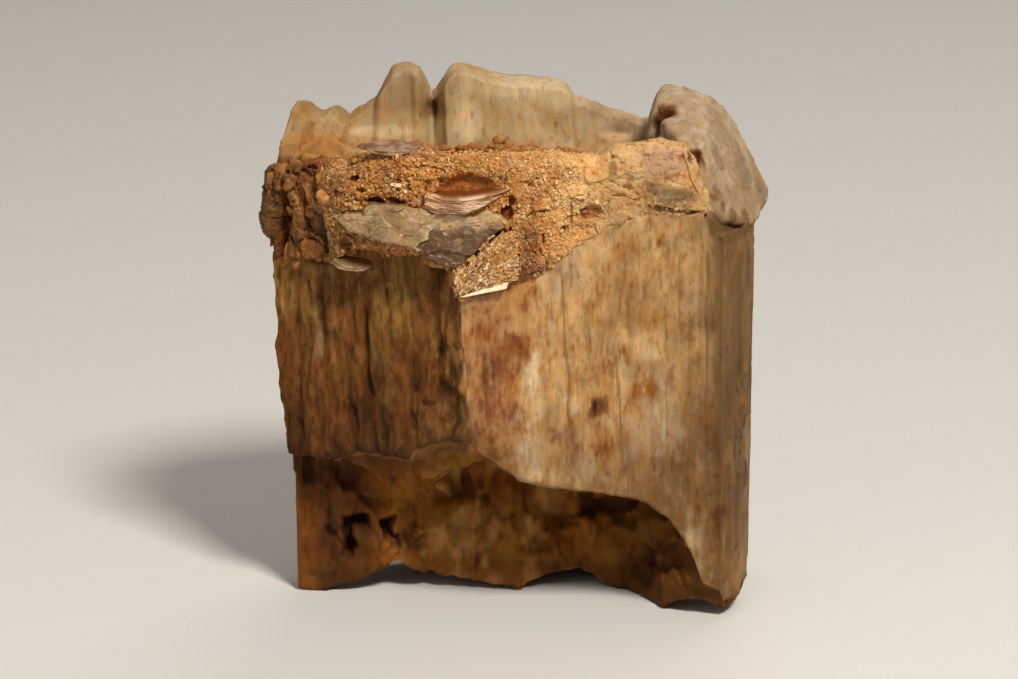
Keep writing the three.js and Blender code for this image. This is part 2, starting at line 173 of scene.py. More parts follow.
CREAM, TAN, MILK, HONEY = tone("#b79464"), tone("#9c784c"), tone("#c2aa86"), tone("#aa7a40")
BROWN_TAN, AMBER, SAND, PALE_SAND = tone("#6e4f2c"), tone("#a06228"), tone("#9c8156"), tone("#ae9876")
BARK, OLIVE, STRAW, GINGER = tone("#683e10"), tone("#6e4e20"), tone("#8f6c34"), tone("#8a4f0c")
RUST, UMBER, EARTH, MOSS = tone("#7c4210"), tone("#341a03"), tone("#7a460a"), tone("#4a3a12")
# The first colour in the next line is painted shade for the deepest holes.
PAINTED_HOLE_SHADE, RED_BROWN, PLUM, OCHRE = tone("#241003"), tone("#7a3f1e"), tone("#44221a"), tone("#8a5f16")
# The dark tan after LILAC in the next line is painted shade for the crystal's right side.
LILAC, PAINTED_SIDE_SHADE, BROKEN_TAN, CRUMB = tone("#a08870"), tone("#5e4526"), tone("#76522a"), tone("#a06c34")
FROST, FOXY = tone("#d8c8b0"), tone("#84521a")
SHELL, PALE_SHELL, SHELL_GREY = tone("#978063"), tone("#a89379"), tone("#7d6950")
SUGAR, CARAMEL, CREAM_SUGAR, PALE_SUGAR = tone("#c4873f"), tone("#ab6a2e"), tone("#dba767"), tone("#ecca94")
BURNT, KNOB_BROWN, KNOB_LIGHT, GREY_BROWN = tone("#80491a"), tone("#7a4a18"), tone("#9c6c30"), tone("#74562c")
BUTTER, MAUVE, GREY_GREEN, PALE_BUTTER = tone("#b58d58"), tone("#a38069"), tone("#7a6346"), tone("#c8a675")
CAVITY, FAN_PALE = tone("#a3641f"), tone("#f6e0b8")
FELD_OLIVE, FELD_BEIGE, FELD_PALE = tone("#88704c"), tone("#a58662"), tone("#b0906a")
FELD_VIOLET, FELD_GREY, FELD_EDGE = tone("#583d24"), tone("#62472e"), tone("#c4a676")
# Painted light: the colour in the next line pales the top band of the plate's grey-violet half.
FELD_PAINTED_TOP_LIGHT = tone("#b0926c")
MICA, MICA_PALE, MICA_DARK = tone("#a67a54"), tone("#eac6a0"), tone("#6f4a32")
MICA_BROWN, FLAKE_GREY, LENS_GREY = tone("#643618"), tone("#784e2c"), tone("#79603d")
DARK_STAINS = (RED_BROWN, RUST, UMBER, PLUM)  # the stains that soak in as rust


# ---- Scattered numbers and noise -----------------------------------------------------------------

def scatter(cells, seed):
    """A number from 0 to 1 for each whole-number corner: its coordinates times large primes, mixed."""
    c = cells.astype(np.int64)
    h = c[..., 0] * 374761393 + c[..., 1] * 668265263 + c[..., 2] * 1274126177 + seed * 974711
    h = (h ^ (h >> 13)) & 0xFFFFFFFF
    h = (h * 1103515245 + 12345) & 0xFFFFFFFF
    h = (h ^ (h >> 15)) * 2246822519 & 0xFFFFFFFF
    return ((h ^ (h >> 13)) & 0xFFFFFF) / 0xFFFFFF


CORNERS = np.array([(i, j, k) for i in (0, 1) for j in (0, 1) for k in (0, 1)])
NEAR = np.array([(i, j, k) for i in (-1, 0, 1) for j in (-1, 0, 1) for k in (-1, 0, 1)])


def noise(p, size, seed):
    """Smooth noise from -1 to 1: numbers at a lattice's corners, blended by 3 f^2 - 2 f^3 between them."""
    q = p / np.asarray(size, float)
    base = np.floor(q)
    f = q - base
    f = f * f * (3 - 2 * f)
    total = 0
    for corner in CORNERS:
        weight = np.prod(np.where(corner, f, 1 - f), axis=-1)
        total = total + weight * scatter(base + corner, seed)
    return total * 2 - 1


def drift(p, size, seed):
    """Smooth noise along each of the three axes."""
    return np.stack([noise(p, size, seed + k) for k in range(3)], -1)


def fractal(p, size, seed, octaves=4):
    """Noise added to itself at half the size and half the height, again and again."""
    size = np.asarray(size, float)
    total, height, most = 0, 1.0, 0
    for i in range(octaves):
        total = total + height * noise(p, size / 2**i, seed + 17 * i)
        most += height
        height *= 0.5
    return total / most


def grains(p, size, seed):
    """The nearest two of a set of scattered centres: (distance, distance to the second, the first's number,
    slope). The slope is the offset from the centre along a direction that each centre has for itself."""
    q = p / np.asarray(size, float)
    base = np.floor(q)
    nearest = np.full(q.shape[:-1], 9.0)
    second = nearest.copy()
    number = np.zeros_like(nearest)
    slope = np.zeros_like(nearest)
    for step in NEAR:
        cell = base + step
        centre = cell + np.stack([scatter(cell, seed + k) for k in (1, 2, 3)], -1)
        away = q - centre
        d = np.linalg.norm(away, axis=-1)
        own = scatter(cell, seed + 4)
        lean = np.stack([scatter(cell, seed + k) for k in (5, 6, 7)], -1) * 2 - 1
        closer = d < nearest
        second = np.where(closer, nearest, np.minimum(second, d))
        slope = np.where(closer, (away * lean).sum(-1), slope)
        number = np.where(closer, own, number)
        nearest = np.where(closer, d, nearest)
    return nearest, second, number, slope


def facets(p, size, seed, step, tilt):
    """The relief of small facets: each has a number of its own, times step, and a slope, times tilt."""
    _, _, number, slope = grains(p, size, seed)
    return step * (number - 0.5) + tilt * slope


def pillars(s, size, seed, edge):
    """Flat steps from -1 to 1: one scattered number for each stretch of the given size, with a short ramp
    of the share edge between."""
    q = s / size
    i = np.floor(q)
    ramp = smooth(1 - edge, 1, q - i)
    return mix(scatter(points_at(i), seed), scatter(points_at(i + 1), seed), ramp) * 2 - 1


# ---- Meshes --------------------------------------------------------------------------------------

def mesh_object(name, vertices, faces, colour=None, gloss=0.5, streaks=0.2, rust=0.0, smooth_shading=True):
    """A mesh object from vertices in millimetres and an array of faces with as many corners each. Its colour,
    gloss, streaks and rust become the attributes that the materials read."""
    mesh = bpy.data.meshes.new(name)
    faces = np.asarray(faces, np.int32)
    count, corners = faces.shape
    mesh.vertices.add(len(vertices))
    mesh.vertices.foreach_set("co", (np.asarray(vertices) * MM).astype(np.float32).ravel())
    mesh.loops.add(count * corners)
    mesh.loops.foreach_set("vertex_index", faces.ravel())
    mesh.polygons.add(count)
    mesh.polygons.foreach_set("loop_start", np.arange(0, count * corners, corners, dtype=np.int32))
    mesh.polygons.foreach_set("loop_total", np.full(count, corners, np.int32))
    mesh.update(calc_edges=True)
    mesh.polygons.foreach_set("use_smooth", np.full(count, smooth_shading))
    mesh.validate()
    if colour is not None:
        paint(mesh, colour, gloss=gloss, streaks=streaks, rust=rust)
    piece = bpy.data.objects.new(name, mesh)
    bpy.context.scene.collection.objects.link(piece)
    return piece


def paint(mesh, colour, **numbers):
    """Stores each vertex's colour as the attribute tint, and numbers, or one for all, under their names."""
    whole = np.ones((len(colour), 4), np.float32)
    whole[:, :3] = np.clip(colour, 0, 1)
    mesh.attributes.new("tint", "FLOAT_COLOR", "POINT").data.foreach_set("color", whole.ravel())
    for name, values in numbers.items():
        stored = mesh.attributes.new(name, "FLOAT", "POINT").data
        stored.foreach_set("value", np.full(len(colour), values, np.float32))


def finished(piece, material, node):
    """Gives a piece its material and body, and hides the solid that it stands for."""
    piece.data.materials.append(material)
    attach(piece, ROOT)
    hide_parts(node)
    return piece


def lattice_box(nu, nv, nw):
    """The corners on the skin of a box of nu by nv by nw cells, as shares of its sides, and the quads between
    them."""
    def side(count_a, count_b, place):
        """The quads of one side: place turns a pair of whole numbers into a corner of the box."""
        a, b = np.meshgrid(np.arange(count_a), np.arange(count_b), indexing="ij")
        ring = [(a, b), (a + 1, b), (a + 1, b + 1), (a, b + 1)]
        return np.stack([points_at(*place(p, q)) for p, q in ring], 2).reshape(-1, 4, 3)

    front = side(nu, nw, lambda i, k: (i, 0, k))
    back = side(nu, nw, lambda i, k: (i, nv, k))[:, ::-1]
    left = side(nv, nw, lambda j, k: (0, j, k))[:, ::-1]
    right = side(nv, nw, lambda j, k: (nu, j, k))
    top = side(nu, nv, lambda i, j: (i, j, nw))
    base = side(nu, nv, lambda i, j: (i, j, 0))[:, ::-1]
    quads = np.concatenate([front, back, left, right, top, base])
    corners, index = np.unique(quads.reshape(-1, 3), axis=0, return_inverse=True)
    return corners / np.array([nu, nv, nw]), index.reshape(-1, 4)


def lattice_ball(rows, columns):
    """Directions on a ball, row by row from pole to pole, and the triangles between them."""
    tilt = np.linspace(0, np.pi, rows + 1)[1:-1]
    turn = np.linspace(0, 2 * np.pi, columns, endpoint=False)
    t, a = np.meshgrid(tilt, turn, indexing="ij")
    ring = np.stack([np.sin(t) * np.cos(a), np.sin(t) * np.sin(a), np.cos(t)], -1).reshape(-1, 3)
    directions = np.concatenate([[[0, 0, 1]], ring, [[0, 0, -1]]])
    i, j = np.meshgrid(np.arange(rows - 2), np.arange(columns), indexing="ij")
    a = 1 + i * columns + j
    b = 1 + i * columns + (j + 1) % columns
    body = np.concatenate([points_at(a, a + columns, b), points_at(b, a + columns, b + columns)])
    j = np.arange(columns)
    following = (j + 1) % columns
    last = len(directions) - 1
    near = points_at(0, 1 + j, 1 + following)
    far = points_at(last, last - columns + following, last - columns + j)
    return directions, np.concatenate([body.reshape(-1, 3), near, far])


def repeated(faces, size, count):
    """The faces of count copies of a mesh of size vertices, where each copy's vertices follow the last's."""
    return (faces[None] + size * np.arange(count)[:, None, None]).reshape(-1, faces.shape[1])


def normals_of(vertices, faces):
    """Each vertex's outward direction: the sum of its quads' diagonals, or its triangles' sides, crossed and
    made one long."""
    (a, b), (c, d) = ((0, 2), (1, 3)) if faces.shape[1] == 4 else ((0, 1), (0, 2))
    first, second = (vertices[faces[:, end]] - vertices[faces[:, start]] for start, end in ((a, b), (c, d)))
    cross = np.cross(first, second)
    total = [sum(np.bincount(corner, cross[:, k], len(vertices)) for corner in faces.T) for k in range(3)]
    total = np.stack(total, -1)
    return total / np.maximum(np.linalg.norm(total, axis=1, keepdims=True), 1e-12)


# ---- The main crystal ----------------------------------------------------------------------------

RECESS = 2.2  # how far the crystal's own face stands back behind the crust
TOP_SHARES = (0, 0.08, 0.16, 0.36, 0.74, 0.84, 1)  # the bowl ends at the fourth
BASE_SHARES = (0, 0.24, 0.7, 0.75, 0.83, 0.94, 1)
FRONT_COLUMNS = (  # share of the columns, share of the front's length
    (0, 0), (0.36, 0.384), (0.425, 0.456), (1, 1))
LEAN = ((LEFT_END, 0), (-12, 0.05), (-4, 0.06), (6, 0.06), (14, 0.0))
LEAN_FROM_Z = 22
SKIN_CELLS = (236, 84, 90)


def leaning(x, z):
    """How far the grain of the crystal carries a point sideways: up to 0.06 mm for each mm down, by the
    ridge."""
    return along(LEAN, x) * (LEAN_FROM_Z - z)


def placed(station, y, z):
    """Where a point of the column at a station lies: the sides lean, and the left side follows its own
    outline."""
    left = along(LEFT_EDGE_SHIFT, z) + (y - LEFT_ARRIS_Y) * LEFT_SIDE_RUN
    right = along(RIGHT_SIDE_SHIFT, y)
    x = (station + smooth(RETURN_X, LEFT_END, station) * left
         + smooth(WIDENING_FROM_X, RIGHT_END, station) * right)
    return x + leaning(station, z)


def column(station):
    """The corner points of each column's section as (y, z) pairs: the top and the underside, each from front
    to back."""
    along_front = points_at(station)
    rough_left = smooth(-2.2, -5, station)
    edge_z = along(BROKEN_EDGE_Z, station) + mix(0.08, 0.9, rough_left) * fractal(along_front, 2.3, 5)
    slump = 4.6 * smooth(-14.8, -11.5, station) * smooth(-2.2, -4.6, station)
    rim_z = along(FRONT_RIM_Z, station) - 2.2 * smooth(11.6, 13.4, station) * smooth(16.2, 15.2, station)
    bowl_z = along(BOWL_Z, station)
    crest_x = placed(station, CREST_Y, CREST_Z)
    crest_z = np.minimum(along(CREST_LINE, crest_x) + 0.07 * pillars(crest_x, 0.5, 3, edge=0.4), HIGHEST_Z)
    wall_y = along(WALL_LINE, crest_x) + 0.15 * pillars(crest_x, 1.1, 8, edge=0.4)
    foot_x = placed(station, 0.0, 0.0)
    foot_z = np.maximum(along(UNDERSIDE_FRONT_Z, foot_x) + 0.25 * fractal(along_front, 1.3, 6), 0)
    back_foot_z = np.maximum(along(UNDERSIDE_BACK_Z, foot_x), 0)
    back_y = along(BACK_FACE_Y, station)
    front_y = along(FRONT_PATH, station)
    foot_y = along(HOLLOW_FOOT_Y, station)
    top = [(np.minimum(front_y + RECESS, wall_y - 1.2), rim_z - 0.5),
           (np.minimum(front_y + 3.4, wall_y - 1), rim_z - 0.7),
           (np.minimum(front_y + 4.6, wall_y - 0.95), bowl_z + 0.5),
           (wall_y - 0.9, bowl_z), (wall_y, crest_z - 0.5), (mix(wall_y, back_y, 0.35), crest_z),
           (back_y - 0.5, crest_z - 0.5)]
    base = [(front_y, edge_z), (along(HOLLOW_TOP_Y, station), edge_z - 0.4 - slump), (foot_y, foot_z),
            (foot_y + 1.6, foot_z), (mix(foot_y, back_y, 0.55), foot_z * 0 + 2.6),
            (back_y - 2.4, back_foot_z), (back_y - 0.5, back_foot_z)]
    return top, base, back_y


def crystal_base(uvw):
    """The plain shape: u across the front, v from front to back, w up. The top and the underside are broken
    lines along v for each column, and every wall runs between them."""
    u, v, w = uvw.T
    station = path_points(FRONT_PATH, along(FRONT_COLUMNS, u), FRONT_PATH)[:, 0]
    top, base, back_y = column(station)
    top_y, top_z = (broken_line([p[k] for p in top], TOP_SHARES, v) for k in (0, 1))
    base_y, base_z = (broken_line([p[k] for p in base], BASE_SHARES, v) for k in (0, 1))
    z = mix(base_z, top_z, w)
    y = mix(base_y, top_y, w)
    front_y = along(FRONT_PATH, station)
    recess = RECESS * smooth(-0.1, 0.8, z - along(CRUST_FOOT_Z, placed(station, front_y, z)))
    y = np.where((v == 0) & (w > 0), front_y + recess, y)
    y = np.where((v == 1) & (w > 0) & (w < 1), back_y - 0.5 * (bump(w, 0, 0.05) + bump(w, 1, 0.03)), y)
    return points_at(placed(station, y, z), y, z), station


def along_outline(p, uvw):
    """Millimetres around the outline, for patterns that run up the prism faces: x on the front and back, y on
    the sides, with the grain's lean taken away."""
    u, v, _ = uvw.T
    x = p[:, 0] - leaning(p[:, 0], p[:, 2])
    side = (u == 0) | (u == 1)
    return np.where(side, 60 + p[:, 1] * 1.7, np.where(v == 1, x + 120, x + 0.6 * p[:, 1]))


HOLES = (  # x, z, half width, half height, depth: pits in the broken hollow, angular and blind
    (-12.6, 5.9, 0.85, 0.36, 1.7), (-13.25, 4.6, 0.34, 1.25, 1.7), (-9.95, 5.15, 0.42, 0.75, 1.5),
    (-9.5, 4.1, 0.36, 0.4, 0.9), (-4.2, 8.3, 0.8, 0.95, 0.9), (-5.6, 7.6, 0.6, 0.5, 0.7),
    (-3.0, 8.9, 0.5, 0.4, 0.6), (7.6, 6.5, 1.5, 0.6, 1.1), (8.9, 5.7, 0.9, 0.5, 0.8),
    (-16.4, 10.6, 0.5, 1.2, 0.7), (-14.4, 10.3, 0.35, 1.3, 0.6), (-2.5, 7.3, 0.3, 0.4, 0.5),
    (2.4, 3.6, 0.6, 0.5, 0.6), (-7.7, 3.9, 0.6, 0.5, 0.5), (10.6, 3.6, 0.6, 0.6, 0.6),
    (4.6, 5.4, 0.8, 0.4, 0.6), (0.4, 5.6, 0.5, 0.7, 0.5))
NOTCHES = (  # x, y, z, half width, half height, depth: gaps among the terminations
    (-6.35, 6, 38.4, 0.55, 0.6, 0.9), (-4.9, 4.2, 37.2, 0.3, 0.35, 0.5), (-8.5, 4.8, 39.6, 0.45, 1.3, 0.25),
    (8.3, 5.4, 36.6, 0.9, 0.35, 0.3))
GROOVES = (  # x at mid height, lowest z, highest z, half width, depth, on the front faces
    (-11.5, 17.5, 24.5, 0.2, 0.55), (-5.9, 17, 29, 0.3, 0.35), (-14.9, 20, 28, 0.3, 0.25),
    (-8.2, 13, 20, 0.22, 0.3), (-16.9, 14, 24, 0.4, 0.25), (4.1, 14, 28.5, 0.13, 0.12),
    (8.05, 12.5, 22, 0.13, 0.13), (5.2, 22, 28, 0.12, 0.05), (10.6, 12, 20, 0.14, 0.06),
    (12.9, 22, 30, 0.12, 0.08), (15.0, 12, 30, 0.16, 0.12), (-2.3, 16, 22, 0.14, 0.15),
    (11.9, 12, 26, 0.1, 0.08), (14.1, 8, 16, 0.1, 0.12), (13.6, 18, 29, 0.09, 0.07),
    (2.1, 16, 26, 0.09, 0.05), (6.6, 20, 30, 0.08, 0.05), (9.9, 24, 29, 0.13, 0.06),
    (-13.2, 24, 28.6, 0.16, 0.3), (-9.7, 25, 29, 0.14, 0.25), (-7.2, 24, 28, 0.14, 0.25))
STAINS = (  # x, z, half width, half height, strength, shade
    (-0.9, 20.2, 1.1, 1.3, 0.6, RED_BROWN), (0.1, 22.8, 1.0, 1.0, 0.8, RED_BROWN),
    (-0.8, 22.0, 1.5, 1.2, 0.6, RED_BROWN), (-1.9, 20.8, 0.5, 1.6, 0.5, UMBER),
    (-1.3, 20.6, 0.5, 0.9, 0.4, UMBER), (-2.0, 18.4, 0.9, 2.4, 0.6, RED_BROWN),
    (-0.9, 17.2, 1.1, 1.8, 0.6, RED_BROWN), (-2.7, 24.0, 0.6, 0.5, 0.6, RED_BROWN),
    (-2.2, 25.6, 0.8, 0.5, 0.5, RUST), (-0.5, 19.2, 0.7, 0.8, 0.6, AMBER),
    (-1.6, 22.8, 1.3, 2.6, 0.4, RED_BROWN), (6.55, 17.8, 0.55, 0.75, 1.6, PLUM),
    (6.3, 17.3, 0.4, 0.6, 0.7, PLUM), (6.1, 16.9, 0.42, 0.5, 0.6, PLUM), (7.0, 14.0, 0.9, 1.3, 0.7, RUST),
    (6.5, 15.9, 0.9, 1.2, 0.4, RUST), (10.1, 18.9, 1.15, 1.4, 1.6, FOXY), (3.3, 15.3, 0.5, 0.5, 0.6, RUST),
    (0.4, 15.6, 0.5, 0.7, 0.5, RUST), (11.3, 16.4, 1.5, 1.9, 0.3, BROWN_TAN),
    (10.8, 20.5, 0.7, 0.8, 0.7, BROWN_TAN), (9.0, 20.4, 0.8, 0.6, 0.5, BROWN_TAN),
    (2.7, 15.4, 0.5, 0.5, 0.6, RUST), (4.3, 15.6, 0.4, 0.9, 0.4, RUST), (4.7, 14.2, 0.5, 0.7, 0.4, RUST),
    (1.4, 18.6, 0.9, 2.8, 0.6, MILK), (1.5, 19.9, 0.5, 1.7, 0.6, FROST), (1.2, 14.0, 1.4, 1.6, 0.5, MILK),
    (2.4, 12.2, 2.6, 0.8, 0.5, MILK), (11.4, 15.6, 1.7, 2.3, 0.8, LILAC), (11.9, 17.2, 0.7, 1.2, 0.35, FROST),
    (9.5, 14.6, 0.8, 1.6, 0.5, LILAC), (2.8, 27.2, 0.6, 1.8, 0.5, MILK), (3.6, 28.4, 1.2, 1.2, 0.6, LILAC),
    (4.4, 27.0, 1.2, 1.6, 0.4, TAN), (12.4, 16.0, 0.5, 1.6, 0.5, BROWN_TAN),
    (14.1, 19.2, 0.8, 1.6, 0.6, BROWN_TAN), (13.2, 22.5, 1.0, 1.6, 0.5, BROWN_TAN),
    (4.6, 17.8, 0.9, 1.2, 0.5, MILK), (14.6, 9.2, 0.6, 0.4, 0.8, RUST), (16.3, 8.8, 0.7, 0.5, 0.8, RUST),
    (15.9, 6.8, 0.45, 1.8, 0.7, RUST), (13.9, 7.2, 0.4, 1.6, 0.4, MILK), (14.7, 6.2, 0.35, 1.8, 0.35, MILK),
    (15.4, 4.4, 0.5, 1.2, 0.3, MILK), (9.1, 24.0, 0.5, 1.5, 0.4, BROWN_TAN),
    (12.9, 27.2, 0.3, 0.9, 0.7, BROWN_TAN), (11.4, 30.5, 0.4, 0.5, 0.6, RUST),
    (-1.8, 13.9, 1.2, 0.8, 0.5, BROWN_TAN), (-3.0, 15.5, 0.8, 1.0, 0.5, BROWN_TAN),
    (4.4, 22.4, 1.2, 1.0, 0.35, RUST), (12.6, 12.6, 1.4, 0.8, 0.6, BROWN_TAN),
    (9.3, 12.6, 0.7, 0.9, 0.6, BROWN_TAN), (8.6, 21.6, 0.9, 0.8, 0.4, RUST),
    (10.2, 21.0, 1.6, 0.7, 0.4, BROWN_TAN), (14.6, 24.6, 1.0, 1.4, 0.4, BROWN_TAN),
    (5.6, 12.6, 0.8, 0.9, 0.5, LILAC))
CREST_STAINS_AND_SHADE = (  # x, z, half width, half height, strength, shade
    # The first four rows, three brown and one milk, darken and lighten facets of the terminations: partly
    # their own tones, partly painted shade and painted light.
    (-6.3, 38.6, 0.9, 0.9, 0.75, BROWN_TAN), (-8.2, 40.2, 0.9, 1.6, 0.35, BROWN_TAN),
    (-5.3, 39.8, 0.7, 1.4, 0.3, BROWN_TAN), (-3.6, 37.9, 1.0, 1.5, 0.9, MILK),
    (-10.6, 37.0, 2.8, 0.45, 0.7, MILK), (9.0, 37.2, 1.0, 0.6, 0.6, BROWN_TAN),
    (10.7, 37.5, 0.8, 0.7, 0.9, LILAC), (0.5, 40.2, 2.6, 0.5, 0.5, MILK), (1.0, 38.4, 2.4, 1.0, 0.3, TAN),
    (-16.4, 38.2, 1.2, 1.2, 0.35, OCHRE), (-13.2, 37.9, 1.4, 0.8, 0.35, OCHRE),
    (-15.2, 36.6, 2.6, 0.7, 0.8, CRUMB), (6.8, 38.4, 1.2, 0.7, 0.3, BROWN_TAN),
    (6.2, 37.6, 3.0, 1.4, 0.3, BROWN_TAN))


def face_relief(p, uvw, station, s, upright):
    """The prism faces: striations, with ribs, hackly scars and ledges on the sides and the back, and with
    chips, scabs and a broken rim on the front."""
    u, v, _ = uvw.T
    x, _, z = p.T
    front, back = v == 0, v == 1
    fine = 0.02 * pillars(s, 0.6, 11, edge=0.5) + 0.02 * noise(upright, (0.3, 1, 5), 12)
    broad = 0.07 * pillars(s, 2.6, 13, edge=0.5) + 0.12 * noise(upright, (3.2, 1, 16), 14)
    relief = fine + broad + 0.05 * fractal(p, (0.8, 0.8, 1.8), 15)
    ribs = 0.26 * pillars(s + 0.15 * noise(upright, (3, 1, 7), 41), 1.9, 42, edge=0.18)
    ribs = ribs + 0.1 * pillars(s + 0.1 * noise(upright, (2, 1, 5), 43), 0.75, 44, edge=0.35)
    hackly = facets(p, (1.3, 1.3, 1.0), 57, 2, 2.4) + fractal(p, 1.2, 63)
    scar = smooth(0.16, 0.26, fractal(p, (5, 5, 8), 56, 4))
    apart = np.where(back, smooth(0, 0.08, u) * smooth(1, 0.92, u), smooth(0, 0.15, v) * smooth(1, 0.75, v))
    ribs = mix(ribs, 0.12 * hackly - 0.3, scar * apart)
    ledge = pillars(z + 1.5 * scatter(points_at(np.floor(s / 2.3)), 45), 6.5, 46, edge=0.06)
    relief = relief + (back | (u == 0) | (u == 1)) * ribs + 0.12 * ledge * back
    rim = bump(station, RIDGE_X + 0.1, 0.55) * front * (station > RIDGE_X - 0.15)
    relief = relief + rim * (0.3 * fractal(p, (0.5, 0.5, 1.3), 47) - 0.1)
    chipped = smooth(18.2, 15, z + 0.8 * (x - RIDGE_X)) * smooth(1.4, -1, x)
    chipped = (chipped + 0.6 * smooth(29, 31, z)) * front
    relief = relief + chipped * (0.3 * fractal(p, (0.8, 0.8, 1.1), 17)
                                 + facets(p, (1.0, 1.0, 1.3), 40, 0.25, 0.25))
    stained = bump(x, -1.4, 1.7) * smooth(15, 17, z) * smooth(27, 25, z) * front
    return relief + stained * facets(p, (1.1, 1.1, 1.9), 30, 0.12, 0.14)


def bark_relief(p, s, upright):
    """The bark of the front left: splinters, fibres between them, and blocks at its foot."""
    shifted = p[:, 2] + 2 * scatter(points_at(np.floor(s)), 2)
    splinters = facets(points_at(s, 0, shifted), (0.6, 1, 2.2), 16, 0.16, 0.16)
    splinters = splinters + 0.2 * fractal(upright, (1.7, 1, 6), 18)
    fibres = 1 - np.abs(fractal(upright, (0.55, 1, 3.2), 19, 3)) * 3
    splinters = splinters + 0.12 * fibres + 0.12 * fractal(p, (0.4, 0.4, 0.9), 20)
    blocky = smooth(-10.5, -7.5, p[:, 0]) * smooth(21.5, 18.5, p[:, 2])
    return splinters + blocky * facets(p, (1.4, 1.4, 1.9), 28, 0.45, 0.35)


def hollow_relief(p, v):
    """The broken hollow: blocks and rough scars, calmer towards its back, with fibres higher up."""
    broken = facets(p, (2.3, 2.3, 2.8), 21, 0.55, 0.6)
    broken = broken + 0.9 * fractal(p, (2.8, 2.8, 3.0), 23) + 0.3 * fractal(p, 1.0, 22)
    calm = 1 - 0.8 * bump(v, 0.7, 0.1)
    fibrous = 0.16 * pillars(p[:, 0] + 0.3 * noise(p, 1.5, 48), 0.8, 49, edge=0.5) * smooth(3, 6, p[:, 2])
    return broken * calm + fibrous


def crystal_holes(p, uvw, hollow, upright):
    """How deep each point lies in a pit of the hollow, a gap of the crest or a groove of the front."""
    _, v, w = uvw.T
    x, y, z = p.T
    shift_x, shift_z = 0.35 * fractal(p, 1.0, 29, 2), 0.35 * fractal(p, 1.0, 50, 2)
    hole = np.zeros(len(p))
    for at_x, at_z, across, up, depth in HOLES:
        far = np.maximum(np.abs(x - at_x + shift_x) / across, np.abs(z - at_z + shift_z) / up)
        hole = np.maximum(hole, depth * smooth(1.7, 0.5, far) * (hollow > 0.5))
    for at_x, at_y, at_z, across, up, depth in NOTCHES:
        far = oval(x, z, at_x, at_z, across, up) + ((y - at_y) / across) ** 2
        hole = np.maximum(hole, depth * np.exp(-far) * (w == 1))
    x_grain = x - leaning(x, z) + 0.12 * noise(upright, (1, 1, 2.5), 27)
    for at_x, low, high, width, depth in GROOVES:
        reach = smooth(low - 1, low + 1, z) * smooth(high + 1, high - 1, z)
        hole = np.maximum(hole, depth * reach * bump(x_grain, at_x, width) * (v == 0))
    return hole


def crystal_relief(p, uvw, station, upright):
    """How far each point stands out or in, in millimetres, and how deep it lies in a hole."""
    u, v, w = uvw.T
    s = upright[:, 0]
    wall = ((v == 0) | (v == 1) | (u == 0) | (u == 1)) & (w < 1)
    bark = smooth(-3.95, -4.35, station) * (v < 0.5)
    relief = mix(face_relief(p, uvw, station, s, upright), bark_relief(p, s, upright), bark) * wall
    hollow = ((w == 0) & (v < 0.8)) * smooth(0, 0.06, v) * smooth(0, 0.03, u) * smooth(1, 0.9, u)
    under = smooth(0.7, 0.8, v) * smooth(1, 0.94, v) * smooth(0, 0.05, u) * smooth(1, 0.9, u) * (w == 0)
    relief = relief + hollow_relief(p, v) * np.maximum(hollow, 0.3 * under)
    steps = 0.14 * fractal(p, (0.9, 0.9, 2.2), 24) + 0.05 * pillars(p[:, 0], 0.9, 25, edge=0.4)
    bowl = 0.25 * fractal(p, 1.4, 26)
    relief = relief + np.where(v > TOP_SHARES[3], steps, bowl) * (w == 1)
    hole = crystal_holes(p, uvw, hollow, upright)
    return relief - hole, hole


